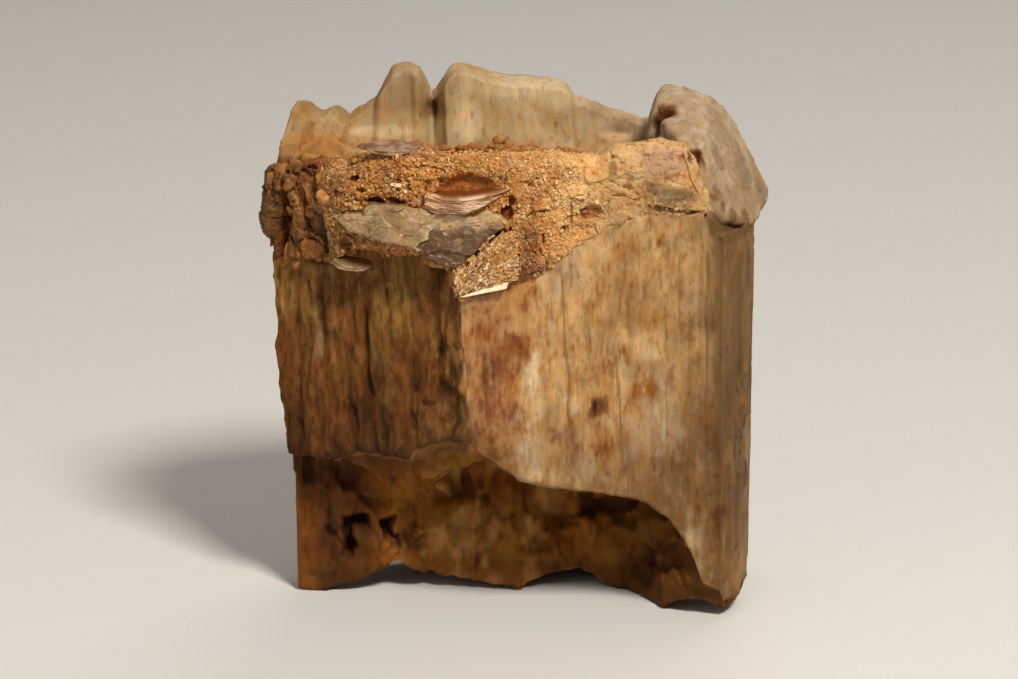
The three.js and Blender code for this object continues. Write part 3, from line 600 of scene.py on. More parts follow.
def front_colours(p, uvw, station, upright, relief, hole, noises):
    """Cream, honey and amber for the prism faces, with their stains, and how far rust has soaked in.
    Painted shade browns them towards the bottom and the right, on the right side, in the grooves and in the
    low places of the chipped foot.
    """
    band, fine_band, cloud, patch, veil, broken_up = noises
    u, v, _ = uvw.T
    x, y, z = p.T
    front = v == 0
    lower = smooth(21, 9, z) * (0.35 + 0.65 * front)
    rightward = smooth(7.5, 16, x + 2 * cloud) * (0.3 + 0.7 * front)
    foot = smooth(10, 5, z)
    colour = layered(
        CREAM,
        (TAN, smooth(-0.1, 0.5, 0.4 * band + 0.7 * cloud + 0.4 * veil + 0.02 * (x - 4))),
        (MILK, 0.5 * smooth(0.0, 0.5, -0.35 * band - 0.7 * cloud - 0.4 * veil - 0.025 * (x - 3))),
        (LILAC, 0.6 * smooth(0.1, 0.5, patch - 0.3 * cloud)),
        (HONEY, 0.5 * smooth(0.05, 0.5, veil + 0.3 * fine_band)),
        (BROWN_TAN, 0.6 * smooth(0.1, 0.5, patch + 0.3 * fine_band + 0.03 * (x - 9) - 0.02 * (z - 16))),
        (BROWN_TAN, 0.08 * smooth(0.0, 0.4, fine_band)),
        (AMBER, 0.5 * smooth(3.5, -2.5, x) + 0.1 * smooth(20, 12, z)),
        # painted shade: browner towards the bottom and towards the right, where the light falls off
        (BROWN_TAN, (0.74 - 0.24 * foot) * lower + (0.42 + (0.6 - 0.6 * foot) * lower) * rightward),
        (LILAC, 0.25 * smooth(0.1, 0.5, broken_up + 0.5 * patch)),
        (BROWN_TAN, 0.3 * smooth(0.1, 0.5, fractal(p, (0.45, 0.45, 0.6), 62) + 0.4 * veil)),
        (RUST, 0.4 * smooth(0.28, 0.5, fractal(p, (0.3, 0.3, 0.45), 64) + 0.35 * patch)),
        (BROWN_TAN, 0.45 * smooth(0.25, 0.5, fractal(upright, (0.25, 1, 1.6), 58, 3))))
    rust = 0.02 + 0.16 * smooth(0.1, 0.6, veil) + 0.05 * smooth(22, 29, z)
    warp_x = 0.55 * noise(p, 0.9, 35) + 0.25 * noise(p, 0.4, 38)
    warp_z = 0.6 * noise(p, 1.1, 36) + 0.25 * noise(p, 0.5, 39)
    for at_x, at_z, across, up, strength, shade in STAINS:
        far = ((x - at_x) / across + warp_x) ** 2 + ((z - at_z) / up + warp_z) ** 2
        spread = smooth(2.0, 0.0, far + 0.3 * np.abs(veil)) * (0.78 + 0.95 * broken_up) * (y < 0)
        colour = tinted(colour, shade, 0.85 * strength * spread)
        if any(shade is dark for dark in DARK_STAINS):
            rust = np.maximum(rust, 0.45 * strength * smooth(3.0, 0.2, far) * (y < 0))
    ridge = bump(station, RIDGE_X + 0.25, 0.3) * front * smooth(14, 17, z)
    ridge_grain = fractal(p, (0.5, 0.5, 1.6), 59)
    right_side = np.maximum((u == 1) * (0.4 + 0.6 * smooth(3, -3, y)), smooth(14.4, 16.3, station) * front)
    broken_foot = smooth(1.4, -1, x + patch) * smooth(18.2, 15, z + 0.8 * (x - RIDGE_X)) * front
    return layered(
        colour,
        (MILK, 0.4 * ridge * smooth(0.0, 0.4, ridge_grain)),
        (BROKEN_TAN, 0.8 * ridge * smooth(0.0, -0.3, ridge_grain)),
        # painted shade: the right side and the right end of the front, less near the foot
        (PAINTED_SIDE_SHADE, (0.7 + 0.3 * smooth(0.3, -0.3, band) - 0.42 * foot) * right_side),
        # painted shade: browner in the grooves of the front
        (BROWN_TAN, 0.7 * smooth(0.04, 0.1, hole) * front),
        (BROKEN_TAN, 0.9 * broken_foot),
        # painted shade: umber in the low places of the chipped foot
        (UMBER, 0.6 * broken_foot * smooth(0.1, -0.3, relief))), rust


def bark_colours(p, uvw, station, relief, noises):
    """Browns for the bark: straw on its high places, umber in its low ones as painted shade, moss and honey
    on the small wall beside the ridge, the moss kept dark as painted shade, and painted shade in the crease
    at the wall's foot and along the lower edge of the front."""
    band, fine_band, cloud, patch, veil, _ = noises
    _, v, w = uvw.T
    x, _, z = p.T
    wall = smooth(-5.6, -5.1, station)
    flaky = smooth(-8.6, -6.6, x + patch) * smooth(18.6, 16.8, z)
    grey_streak = bump(x - leaning(x, z), -14.9, 0.5) * smooth(20, 22, z) * smooth(28.6, 27, z)
    return layered(
        BARK,
        (OLIVE, smooth(-0.2, 0.5, band + 0.5 * cloud + 0.03 * (z - 20))),
        (STRAW, 0.8 * smooth(0.1, 0.6, 0.7 * fine_band + 0.4 * cloud + 1.2 * relief + 0.04 * (z - 21))),
        (BROKEN_TAN, 0.6 * smooth(0.0, 0.5, patch + 0.4 * fine_band)),
        (RUST, 0.35 * smooth(0.1, 0.6, patch + 0.02 * (22 - z))),
        # painted shade: umber in the low places
        (UMBER, 0.85 * smooth(0.1, -0.4, relief + 0.3 * fine_band + 0.02 * (z - 18))),
        (UMBER, 0.4 * smooth(20, 12, z)),
        # moss on the small wall: its own olive tone, kept dark as painted shade
        (MOSS, 0.6 * wall * smooth(0.5, -0.2, patch)),
        # umber on the wall where the veil is low; the narrow bump at its foot is painted shade in the crease
        (UMBER, 0.2 * wall * smooth(0.1, -0.3, veil) + 0.7 * bump(station, -5.4, 0.14) * (z > 16)),
        (HONEY, 0.85 * wall * smooth(-0.12, 0.35, veil)),
        (HONEY, 0.45 * flaky * smooth(-0.2, 0.3, veil)),
        (BROKEN_TAN, 0.5 * flaky),
        (LILAC, 0.6 * grey_streak * smooth(-0.2, 0.3, fine_band)),
        (HONEY, 0.8 * bump(x, -18.0, 0.8) * bump(z, 28.3, 0.7)),
        # painted shade along the lower edge of the front
        (UMBER, 0.6 * smooth(0.035, 0.0, w) * (v == 0)))


def hollow_colours(p, v, station, relief, bark, noises):
    """Earth and ginger for the broken hollow, dark at its left and right, with the bark along its edge.
    Painted shade darkens its low places, its top under the face's lower edge and the strip just behind the
    edge at the far left.
    """
    _, _, cloud, patch, veil, _ = noises
    x, _, z = p.T
    middle = smooth(-11, -8, x) * smooth(6, 2, x)
    dark_grain = smooth(0.05, 0.5, fractal(points_at(x, 0, z), (0.9, 1, 1.5), 60, 5))
    earth = layered(
        EARTH,
        (GINGER, 0.7 * smooth(-0.3, 0.5, patch + 0.3 * relief)),
        (OCHRE, 0.7 * smooth(-0.2, 0.5, cloud + 0.3 * relief)),
        # painted shade: umber in the low places
        (UMBER, 0.6 * smooth(0.1, -0.9, relief + 0.4 * veil)),
        (UMBER, (0.75 - 0.35 * middle) * dark_grain),
        (BROKEN_TAN, 0.7 * smooth(0.05, 0.5, patch + 0.3 * veil) * middle),
        (UMBER, 0.75 * smooth(-9, -13, x + cloud)),
        (GINGER, 0.5 * smooth(6, 9, z + cloud) * smooth(-13, -11, x) * smooth(-4.5, -7, x)),
        (RUST, 0.5 * smooth(-15, -16.5, x) * smooth(9, 6, z)),
        (STRAW, 0.12 * smooth(2.2, 1.2, z) * smooth(-15.2, -16.2, x)),
        (HONEY, 0.75 * smooth(-0.15, 0.4, patch - 0.4 * veil) * smooth(-10, -7, x) * smooth(5, 1, x)),
        (UMBER, 0.4 * smooth(3.2, 1.5, z + patch) * smooth(-16, -14.5, x)),
        # umber towards the right, and painted shadow high up under the face's lower edge
        (UMBER, 0.5 * smooth(5, 12, x) + 0.5 * smooth(9.6, 11, z + 0.3 * patch) * smooth(-2, 0, x)))
    near_edge = smooth(0.2, 0.02, v) * (station < RIDGE_X) * smooth(-15, -12, station)
    earth = mix(earth, bark * 0.85, (near_edge * (0.6 + 0.4 * smooth(-0.2, 0.3, patch)))[:, None])
    # painted shade: the strip just behind the edge at the far left
    return tinted(earth, UMBER, 0.85 * smooth(0.06, 0.0, v) * smooth(-12.5, -14.5, station))


def crest_colours(p, hole, noises):
    """Sand for the broken top, with its stains, and crumbly orange in the bowl. Painted shade browns its
    notches and its low right end, and with their own brown darkens some facets of the terminations; painted
    light pales one of them.
    """
    _, _, cloud, patch, veil, _ = noises
    x, y, z = p.T
    pale = layered(
        SAND,
        (PALE_SAND, smooth(-0.3, 0.3, cloud + 0.04 * (x + 4))),
        (TAN, 0.55 * smooth(0.0, 0.5, patch - 0.05 * (x + 8))),
        # partly brown, partly painted shade: facets of the terminations left of x -5.6, high up
        (BROWN_TAN, 0.3 * smooth(-5.6, -7.5, x) * smooth(38.2, 39, z)),
        (PALE_SAND, 0.6 * smooth(38.2, 37, z) * smooth(-14, -11, x)))
    for *spot, strength, shade in CREST_STAINS_AND_SHADE:
        spread = smooth(2.0, 0.1, oval(x, z, *spot) * (1 + 0.5 * patch)) * (y < 7)
        pale = tinted(pale, shade, strength * spread)
    return layered(
        pale,
        (CRUMB, 0.75 * smooth(-0.5, 0.4, patch + 0.6 * cloud) * smooth(36.9, 35.6, z)),
        (BROWN_TAN, 0.5 * smooth(0.0, 0.5, veil + 0.4 * patch) * smooth(37, 36, z)),
        # painted shade: browner in the notches
        (BROWN_TAN, 0.8 * smooth(0.2, 0.8, hole)),
        # painted shade: the low right end of the top
        (PAINTED_SIDE_SHADE, smooth(13.8, 14.6, x) * smooth(34, 32, z)))


def crystal_colours(p, uvw, station, upright, relief, hole):
    """Tints, and how far rust has soaked in: cream and amber in front, brown on the left and in the broken
    hollow, sand on the crest, and painted shade dark in the deepest pits and grooves."""
    u, v, w = uvw.T
    noises = (fractal(upright, (1.5, 1, 14), 31, 3), fractal(upright, (0.4, 1, 5), 32, 3),
              fractal(p, (3.0, 3.0, 4.2), 33), fractal(p, (1.5, 1.5, 2.2), 34),
              fractal(p, (0.9, 0.9, 1.5), 37), fractal(upright, (0.35, 1, 0.9), 61, 4))
    cloud, veil = noises[2], noises[4]
    colour, rust = front_colours(p, uvw, station, upright, relief, hole, noises)
    left = smooth(RIDGE_X, -4.15, station) * (v < 0.5) * ((w > 0) | (v == 0))
    left = np.where(u == 0, smooth(2.5, -1.2, p[:, 1] + 1.2 * cloud + 0.5 * veil) * (w < 1), left)
    bark = bark_colours(p, uvw, station, relief, noises)
    broken = (w == 0) * smooth(0, 0.02, v)
    colour = mix(colour, bark, left[:, None])
    colour = mix(colour, hollow_colours(p, v, station, relief, bark, noises), broken[:, None])
    colour = np.where((w == 1)[:, None], crest_colours(p, hole, noises), colour)
    rust = np.where((w == 1) | (w == 0), 0.05, np.where(left > 0.5, 0.18, rust))
    # painted shade: dark in the deepest pits and grooves
    return tinted(colour, PAINTED_HOLE_SHADE, 0.75 * smooth(0.3, 1.6, hole) * (w < 1)), rust


def crystal_piece(material):
    """The main crystal's skin: the plain shape with its relief along its own normals, flattened where it
    stands."""
    uvw, quads = lattice_box(*SKIN_CELLS)
    plain, station = crystal_base(uvw)
    upright = points_at(along_outline(plain, uvw), 0, plain[:, 2])
    relief, hole = crystal_relief(plain, uvw, station, upright)
    p = plain + normals_of(plain, quads) * relief[:, None]
    p[:, 2] = np.maximum(p[:, 2], 0)
    colour, rust = crystal_colours(plain, uvw, station, upright, relief, hole)
    _, v, w = uvw.T
    streaks = 1 - 0.8 * ((w == 1) | (w == 0)) + smooth(RIDGE_X, -4.3, station) * (v == 0)
    gloss = 0.55 - 0.5 * (w == 0) - 0.4 * smooth(RIDGE_X, -5.0, station) * (v < 0.5) * (w > 0)
    piece = mesh_object("hambergite_skin", p, quads, colour, gloss, streaks, rust)
    finished(piece, material, "hambergite_crystal")


# ---- The second crystal, grown on at the upper right ---------------------------------------------

SHOULDER_CELLS = (170, 300)
ROUNDING = 40  # the higher this power, the sharper the corners of the second crystal
GRAIN_TURN = np.array([[0.8, 0, 0.6], [0, 1, 0], [-0.6, 0, 0.8]])  # its grain leans to the left
SHOULDER_CORNERS = ((11.4, 2.6, 40.7), (12.4, 3.4, 41.1), (12.3, 0.4, 40.7), (11.1, -1.0, 39.9),
                    (10.6, -1.0, 38.7), (13.2, 2.2, 40.9), (15.2, 2.2, 40.2), (15.9, 2.8, 39.8),
                    (10.6, 0.6, 36.4), (10.8, 5.4, 37.6), (12.2, -4.2, 38.5), (14.6, -5.9, 37.8),
                    (13.5, -6.3, 37.0), (14.2, -6.9, 34.6), (14.6, -6.9, 33.0), (15.4, -6.7, 35.2),
                    (15.7, -6.9, 33.0), (16.8, -4.8, 31.8), (17.9, -2.6, 30.8), (18.1, 3.6, 37.1),
                    (18.9, 3.4, 35.4), (19.9, 2.4, 32.8), (20.35, 4.0, 31.8), (20.0, 5.2, 30.6),
                    (18.8, 5.6, 28.9), (18.7, 0.6, 29.9), (19.2, -1.4, 31.0), (18.4, -3.4, 31.0),
                    (12, -3, 30), (12, 5.6, 30), (15.2, -5.9, 31.6), (16.9, -5.6, 31.9), (16.2, -6.1, 31.7))
SHOULDER_DENTS = (  # x, y, z, radius, depth
    (11.7, -1.3, 39.4, 0.95, 1.2), (11.3, -1.5, 38.5, 0.75, 1.0), (13.9, -6.3, 36.9, 0.85, 0.7),
    (13.7, -5.9, 37.8, 0.4, 0.3), (15.7, -6.6, 34.6, 0.35, 0.4), (16.3, -5.8, 32.6, 0.35, 0.3),
    (17.3, -4.8, 31.6, 0.35, 0.25), (14.4, -3.0, 39.0, 0.5, 0.3), (18.9, 0.8, 31.2, 0.6, 0.35),
    (16.6, -3.0, 36.2, 1.1, 0.3), (13.1, -1.6, 39.9, 0.5, 0.25))
SHOULDER_STAINS_AND_SHADE = (  # x, y, z, radius, strength, shade
    (16.3, -4.0, 36.6, 1.3, 0.8, SHELL_GREY), (17.2, -4.6, 31.3, 0.8, 0.9, BROWN_TAN),
    (15.6, -6.4, 34.0, 0.6, 0.7, BROWN_TAN), (13.9, -6.2, 37.0, 0.8, 1.0, BROWN_TAN),
    (11.6, -1.2, 39.2, 1.35, 1.0, BROWN_TAN), (19.4, 1.6, 32.4, 1.2, 0.6, SHELL_GREY),
    (17.7, -3.5, 31.6, 0.7, 0.8, BROWN_TAN), (17.0, -5.2, 32.1, 0.7, 0.6, BROWN_TAN),
    # The three umber rows lie in the dents: painted shade in them.
    (16.1, -6.1, 33.0, 0.5, 0.7, BROWN_TAN), (11.5, -1.3, 39.1, 1.25, 1.1, UMBER),
    (11.2, -1.5, 38.3, 0.8, 1.0, UMBER), (13.9, -6.2, 37.0, 0.6, 0.7, UMBER),
    (18.6, -0.6, 34.6, 1.6, 0.6, SHELL_GREY), (15.8, 0.5, 38.6, 1.2, 0.5, SHELL_GREY))
SHOULDER_CRACKS = (  # broken lines as (x, z)
    ((13.2, 39.4), (14.4, 38.9), (15.0, 38.0), (14.7, 37.0)), ((15.6, 36.4), (16.4, 34.6), (17.2, 33.6)),
    ((16.6, 38.2), (17.0, 36.2), (18.2, 34.4)))


def hull_planes(corners):
    """The planes of the corners' convex hull, as outward normals and distances from the middle: of all planes
    through three corners, those with no corner beyond them."""
    corners = np.array(corners, float)
    middle = corners.mean(axis=0)
    count = len(corners)
    i, j, k = np.array([(a, b, c) for a in range(count) for b in range(a) for c in range(b)]).T
    normal = np.cross(corners[j] - corners[i], corners[k] - corners[i])
    normal /= np.maximum(np.linalg.norm(normal, axis=1, keepdims=True), 1e-9)
    reach = ((corners[i] - middle) * normal).sum(1)
    normal = normal * np.sign(reach)[:, None]
    beyond = ((corners[None] - corners[i][:, None]) * normal[:, None]).sum(-1).max(1)
    outer = (beyond < 1e-6) & (np.abs(reach) > 0.1)
    return middle, normal[outer], np.abs(reach[outer])


def within(p, x, y, z, radius):
    """The squared distance from a middle, in radii."""
    return ((p - np.array([x, y, z])) ** 2).sum(1) / radius**2


def shoulder_piece(material):
    """A blunt crystal: on each line out from its middle it ends where a hull plane would stop it, with the
    corners rounded by taking the planes' reaches as the sum of a high power of each."""
    directions, triangles = lattice_ball(*SHOULDER_CELLS)
    middle, normals, reaches = hull_planes(SHOULDER_CORNERS)
    closeness = np.maximum(directions @ normals.T, 0) / reaches
    radius = (closeness ** ROUNDING).sum(1) ** (-1 / ROUNDING) + 0.1
    plain = middle + directions * radius[:, None]
    along_grain = plain @ GRAIN_TURN
    relief = 0.12 * fractal(plain, 3.0, 52, 2) + 0.05 * fractal(plain, 0.6, 58)
    relief = relief + facets(plain, (2.6, 2.6, 3.4), 53, 0.12, 0.17)
    relief = relief + facets(along_grain, (0.9, 0.9, 1.6), 50, 0.06, 0.09)
    uneven = 1 + 0.4 * noise(plain, 0.5, 54)
    hole = np.max([depth * np.exp(-within(plain, *dent) * uneven) for *dent, depth in SHOULDER_DENTS], axis=0)
    normals = normals_of(plain, triangles)
    p = plain + normals * (relief - hole)[:, None]
    cloud = fractal(plain, 2.2, 55)
    streak = fractal(along_grain, (0.7, 0.7, 3), 56)
    colour = layered(
        SHELL,
        (PALE_SHELL, smooth(-0.2, 0.4, streak + 0.6 * cloud)),
        (SHELL_GREY, 0.3 * smooth(0.05, 0.5, -cloud)),
        (BROWN_TAN, 0.3 * smooth(0.15, 0.6, fractal(along_grain, (0.9, 0.9, 3), 57))),
        (BROWN_TAN, 0.12 * smooth(37, 33, plain[:, 2] + 2 * cloud)))
    rust = np.zeros(len(p))
    for *ball, strength, shade in SHOULDER_STAINS_AND_SHADE:
        spread = strength * smooth(1.6, 0.1, within(plain, *ball) * (1 + 0.6 * cloud))
        colour = tinted(colour, shade, spread)
        rust = np.maximum(rust, 0.4 * spread * (shade is BROWN_TAN))
    crack = np.min([near_line(plain[:, 0], plain[:, 2], corners) for corners in SHOULDER_CRACKS], axis=0)
    colour = layered(
        colour,
        (BROWN_TAN, 0.8 * smooth(0.09, 0.03, crack + 0.03 * streak) * smooth(-0.35, -0.55, normals[:, 1])),
        (RUST, 0.55 * smooth(0.15, 0.5, hole)),
        # painted shade: umber deep in the dents, over the rust in them
        (UMBER, 0.85 * smooth(0.25, 0.8, hole)))
    piece = mesh_object("hambergite_second_crystal", p, triangles, colour, 0.5, 0.2, rust)
    finished(piece, material, "hambergite_crystal")


# ---- The albite crust ----------------------------------------------------------------------------

# Plans of the crust from the left side round to the right, with the same corners: its face, its inner edge,
# and where its foot meets the crystal.
CRUST_FACE = ((-18.6, 1.3), (-19.3, -0.6), (-19.1, -2.6), (-16, -4.9), (-13, -7.4), (-9, -8.9), (-3.9, -9.8),
              (4, -9.5), (7, -8.95), (10, -8.8), (12.5, -8.5), (15.2, -7.3))
CRUST_INNER = ((-17, 1.0), (-16.6, -0.2), (-15.6, -1.0), (-13.2, -2.4), (-11, -4.4), (-8, -5.6), (-3.9, -5.9),
               (4, -5.7), (7, -5.6), (10, -5.5), (12.3, -5.4), (14.4, -5.4))
CRUST_SEAT = ((-18.1, 1.2), (-18.75, -0.6), (-18.6, -2.3), (-15.5, -3.4), (-12.5, -4.5), (-9, -5.8),
              (-3.9, -9.42), (4, -8.62), (7, -8.3), (10, -8.0), (12.4, -7.75), (15.3, -7.4))
CRUST_SHARES = (0, 0.04, 0.12, 0.66, 0.74, 0.87, 0.93, 0.965, 1)
CRUST_CELLS = (590, 166)
PLATE_SEAT = -0.45  # how far the crust stands back behind the feldspar plate
CRUST_DENTS = (  # x, z, half width, half height, depth: a negative depth is a bulge
    (-12.2, 35.5, 0.35, 0.3, 0.5), (-10.6, 33.85, 0.75, 0.3, 0.9), (-9.0, 34.0, 0.7, 0.3, 0.6),
    (-11.7, 34.7, 0.4, 0.25, 0.4), (-3.5, 35.2, 2.3, 0.95, 0.85), (-0.45, 33.2, 0.45, 0.65, 1.0),
    (-0.1, 34.2, 0.3, 0.5, 0.6), (0.33, 29.8, 0.12, 1.1, 1.2), (2.3, 31.2, 0.14, 0.5, 0.35),
    (4.45, 33.1, 0.14, 0.95, 0.35), (4.0, 32.0, 0.25, 0.2, 0.45), (5.9, 33.0, 0.9, 0.7, 0.4),
    (5.9, 29.9, 0.8, 0.25, 0.35), (1.25, 30.9, 0.6, 1.4, -0.3), (-12.9, 30.2, 0.5, 0.7, 0.5),
    (-15.3, 36.3, 1.2, 0.35, 0.8), (-17.75, 33.2, 0.3, 2.2, 1.9), (-17.9, 29.9, 0.35, 2.0, 1.7),
    (-19.2, 31.5, 0.6, 1.9, -0.55), (-16.1, 32.6, 0.22, 1.6, 0.6), (-14.6, 30.4, 0.2, 1.6, 0.45),
    (7.5, 37.4, 0.2, 0.2, 0.3), (8.7, 35.0, 0.35, 0.25, 0.25), (8.1, 34.4, 0.5, 0.15, 0.25),
    (13.7, 37.3, 0.35, 0.55, 0.6), (9.5, 36.5, 1.6, 1.5, -0.35), (11.8, 36.6, 1.4, 0.9, -0.2),
    (11.6, 35.0, 1.7, 0.7, 0.1), (-9.2, 29.95, 1.5, 0.3, 0.6), (-6.9, 29.2, 0.8, 0.3, 0.5),
    (3.2, 36.0, 1.4, 1.0, -0.25), (-8.6, 36.4, 1.2, 0.7, -0.2), (-1.5, 36.9, 1.2, 0.5, -0.15))
CRUST_CRACKS = (  # corners as (x, z), half width, depth
    (((-4.9, 28.75), (-3.9, 28.95), (-3.2, 29.55), (-2.5, 30.2), (-1.9, 30.9), (-1.3, 31.4), (-0.3, 32.0)),
     0.17, 1.3),
    (((10.5, 33.5), (11.1, 33.15), (12.1, 33.05), (13.4, 32.75), (14.1, 32.85)), 0.17, 1.7),
    (((12.9, 37.5), (13.2, 36.8), (13.5, 35.6), (14.2, 34.2)), 0.05, 0.3),
    (((-0.1, 26.8), (0.5, 27.3), (1.3, 28.1)), 0.08, 0.3),
    (((2.0, 30.4), (2.6, 29.4), (2.4, 28.4)), 0.08, 0.35),
    (((3.2, 33.5), (3.9, 34.3), (5.2, 34.6)), 0.06, 0.25),
    (((0.6, 32.6), (1.4, 33.2), (2.8, 33.4)), 0.06, 0.3),
    (((-8.2, 36.6), (-6.4, 36.9), (-5.2, 36.4)), 0.08, 0.25),
    (((6.4, 35.6), (7.3, 34.9), (8.6, 34.3), (9.6, 33.9)), 0.04, 0.1))
CRUST_FACETS = (  # x, z, half width, half height, lift, slope along x and z, turn: flat cleaved faces
    (5.4, 31.0, 1.35, 0.75, 0.32, 0.1, -0.22, 0.26), (6.9, 31.6, 0.55, 0.75, 0.25, -0.3, -0.1, 0.5),
    (3.9, 30.3, 0.75, 0.5, 0.22, 0.15, -0.3, 0.3), (3.0, 32.5, 0.7, 0.95, 0.22, 0.25, 0.1, -0.2),
    (2.2, 34.0, 0.9, 0.5, 0.2, -0.2, -0.2, 0.3), (4.9, 34.9, 0.8, 0.55, 0.25, 0.15, -0.3, -0.2),
    (7.9, 32.6, 0.9, 0.6, 0.15, 0.2, 0.15, 0.2), (0.9, 36.2, 0.8, 0.5, 0.2, 0.2, -0.2, 0.1),
    (10.2, 33.9, 0.8, 0.5, 0.1, 0.2, -0.2, 0.2),
    (6.3, 36.2, 0.9, 0.7, 0.15, -0.15, -0.15, 0.3), (-6.6, 36.2, 0.7, 0.4, 0.15, 0.2, -0.2, 0.1))
CRUST_STAINS = (  # x, z, half width, half height, strength, shade
    (11.2, 36.9, 2.1, 1.3, 0.6, MAUVE), (12.3, 37.5, 1.1, 0.5, 0.5, MAUVE),
    (12.8, 37.3, 0.3, 0.25, 1.0, AMBER), (12.2, 34.3, 1.7, 0.7, 0.95, GREY_GREEN),
    (11.0, 35.0, 0.9, 0.5, 0.6, GREY_GREEN), (13.2, 34.2, 1.2, 0.8, 0.5, GREY_BROWN),
    (10.4, 34.6, 0.7, 0.5, 0.5, BROWN_TAN), (5.9, 32.9, 1.0, 0.8, 0.6, SUGAR),
    (1.3, 30.8, 0.8, 1.9, 0.75, RED_BROWN), (1.4, 28.4, 1.9, 1.3, 0.8, RED_BROWN),
    (-0.3, 27.6, 0.6, 0.8, 0.9, RED_BROWN), (5.9, 29.9, 0.8, 0.35, 0.9, CARAMEL),
    (8.6, 36.6, 1.6, 1.8, 0.6, PALE_BUTTER), (-3.5, 35.3, 2.7, 1.2, 0.95, CAVITY),
    (3.2, 33.0, 0.9, 1.3, 0.4, CREAM_SUGAR), (-5.6, 36.9, 1.2, 0.5, 0.4, CREAM_SUGAR),
    (2.2, 37.0, 3.6, 0.7, 0.5, CREAM_SUGAR), (-15.0, 36.2, 1.4, 0.6, 0.8, BURNT),
    (7.6, 36.5, 0.35, 0.7, 0.7, BROWN_TAN), (4.6, 34.6, 1.6, 1.2, 0.4, PALE_SUGAR))


def ring_lattice(count_a, count_b):
    """Shares along and around a tube, the triangles between them, and one more corner to close each end."""
    a, b = np.meshgrid(np.linspace(0, 1, count_a + 1), np.arange(count_b) / count_b, indexing="ij")
    i, j = np.meshgrid(np.arange(count_a), np.arange(count_b), indexing="ij")
    p, q = i * count_b + j, i * count_b + (j + 1) % count_b
    body = np.concatenate([points_at(p, p + count_b, q), points_at(q, p + count_b, q + count_b)])
    last, total = count_a * count_b, (count_a + 1) * count_b
    ring = np.arange(count_b)
    following = (ring + 1) % count_b
    start, end = points_at(ring, following, total), points_at(ring + last, total + 1, following + last)
    return a.ravel(), b.ravel(), np.concatenate([body.reshape(-1, 3), start, end])


def crust_base(a, b):
    """The plain crust: a closed line around each section, from the foot up the face, back over the top and
    down behind, carried from the left side round to the right."""
    face, inner, seat = (path_points(path, a, CRUST_FACE) for path in (CRUST_FACE, CRUST_INNER, CRUST_SEAT))
    foot_z = along(CRUST_FOOT_Z, face[:, 0])
    rim_z = along(FRONT_RIM_Z, face[:, 0])
    gentle = smooth(3, 5.5, face[:, 0]) * smooth(11.3, 10, face[:, 0])
    rings = [(mix(inner, seat, 0.55), foot_z - 1.0),
             (mix(seat, face, -0.15 * gentle[:, None]), foot_z - 0.15),
             (mix(face, seat, 0.75 * gentle[:, None]), foot_z + 0.75 + 0.3 * gentle), (face, rim_z - 0.7),
             (mix(inner, face, 0.85), rim_z - 0.1), (mix(inner, face, 0.4), rim_z - 0.15),
             (inner, rim_z - 1.2), (inner, foot_z + 0.5), (mix(inner, seat, 0.55), foot_z - 1.0)]
    plan = broken_line([ring[0] for ring in rings], CRUST_SHARES, b[:, None])
    z = broken_line([ring[1] for ring in rings], CRUST_SHARES, b)
    closing = smooth(0.955, 1, a) ** 1.5
    plan = mix(plan, mix(inner, face, 0.35), 0.75 * closing[:, None])
    z = mix(z, mix(foot_z, rim_z, 0.45), 0.35 * closing)
    plan[:, 0] += 0.9 * closing * smooth(35.5, 33, z)
    return np.concatenate([plan, z[:, None]], 1)


def sugar_relief(p):
    """The sugary part: clumps of small grains with pits among them. Gives back the clumps alone, the small
    grains alone and their numbers too."""
    warp = p + 0.12 * drift(p, 0.4, 61)
    near, second, clump, clump_tilt = grains(warp, 0.62, 64)
    near_small, second_small, number, tilt = grains(warp, 0.26, 65)
    clumps = 0.12 * (clump - 0.5) + 0.16 * clump_tilt - 0.07 * smooth(0.14, 0, second - near)
    small = 0.06 * (number - 0.5) + 0.08 * tilt - 0.02 * smooth(0.2, 0, second_small - near_small)
    pits = 0.4 * smooth(0.25, 0.5, fractal(p, 0.8, 66)) + 0.25 * smooth(0.3, 0.55, fractal(p, 0.35, 67))
    pits = pits * np.clip(smooth(-3.5, -6, p[:, 0]) + 0.35, 0, 1)
    relief = clumps + small - pits + 0.42 * fractal(p, 2.4, 68) + 0.12 * fractal(p, 0.8, 60)
    return relief, clumps, small, number


def cleaved_relief(p):
    """The smooth part: blocks and scales of cleavage."""
    blocks = facets(p, (2.2, 2.2, 1.8), 69, 0.1, 0.16) + 0.14 * fractal(p, 1.3, 70)
    scales = facets(p, (0.7, 0.7, 0.5), 59, 0.07, 0.08) + 0.05 * fractal(p, 0.4, 74)
    return blocks + scales


def knob_relief(p, clumps, small):
    """The knobbly part: swept cells that stand out at their middles, with the grains over them."""
    swept = p + 0.5 * drift(p, 1.1, 75)
    near, second, knob, tilt = grains(swept, (1.2, 1.2, 1.9), 71)
    knobs = 0.4 * (0.45 - near) + 0.4 * (knob - 0.5) + 0.3 * tilt
    knobs = knobs - 0.12 * smooth(0.14, 0, second - near) + 0.5 * small + 0.4 * clumps
    return knobs + 0.6 * fractal(p, (1.8, 1.8, 2.6), 73)


def bare_places(p, facing):
    """Where the feldspar plate covers the crust, and the ragged cavity behind the mica book."""
    x, _, z = p.T
    plate = smooth(-0.1, 0.15, z - along(PLATE_BASE, x)) * smooth(0.1, -0.15, z - along(PLATE_TOP, x))
    plate = plate * smooth(-13.3, -13, x) * smooth(-0.5, -0.8, x) * facing
    cavity = smooth(1.6, 0.5, oval(x, z, -3.5, 35.2, 2.5, 1.05) + 0.5 * fractal(p, 0.8, 58)) * facing
    return plate, cavity


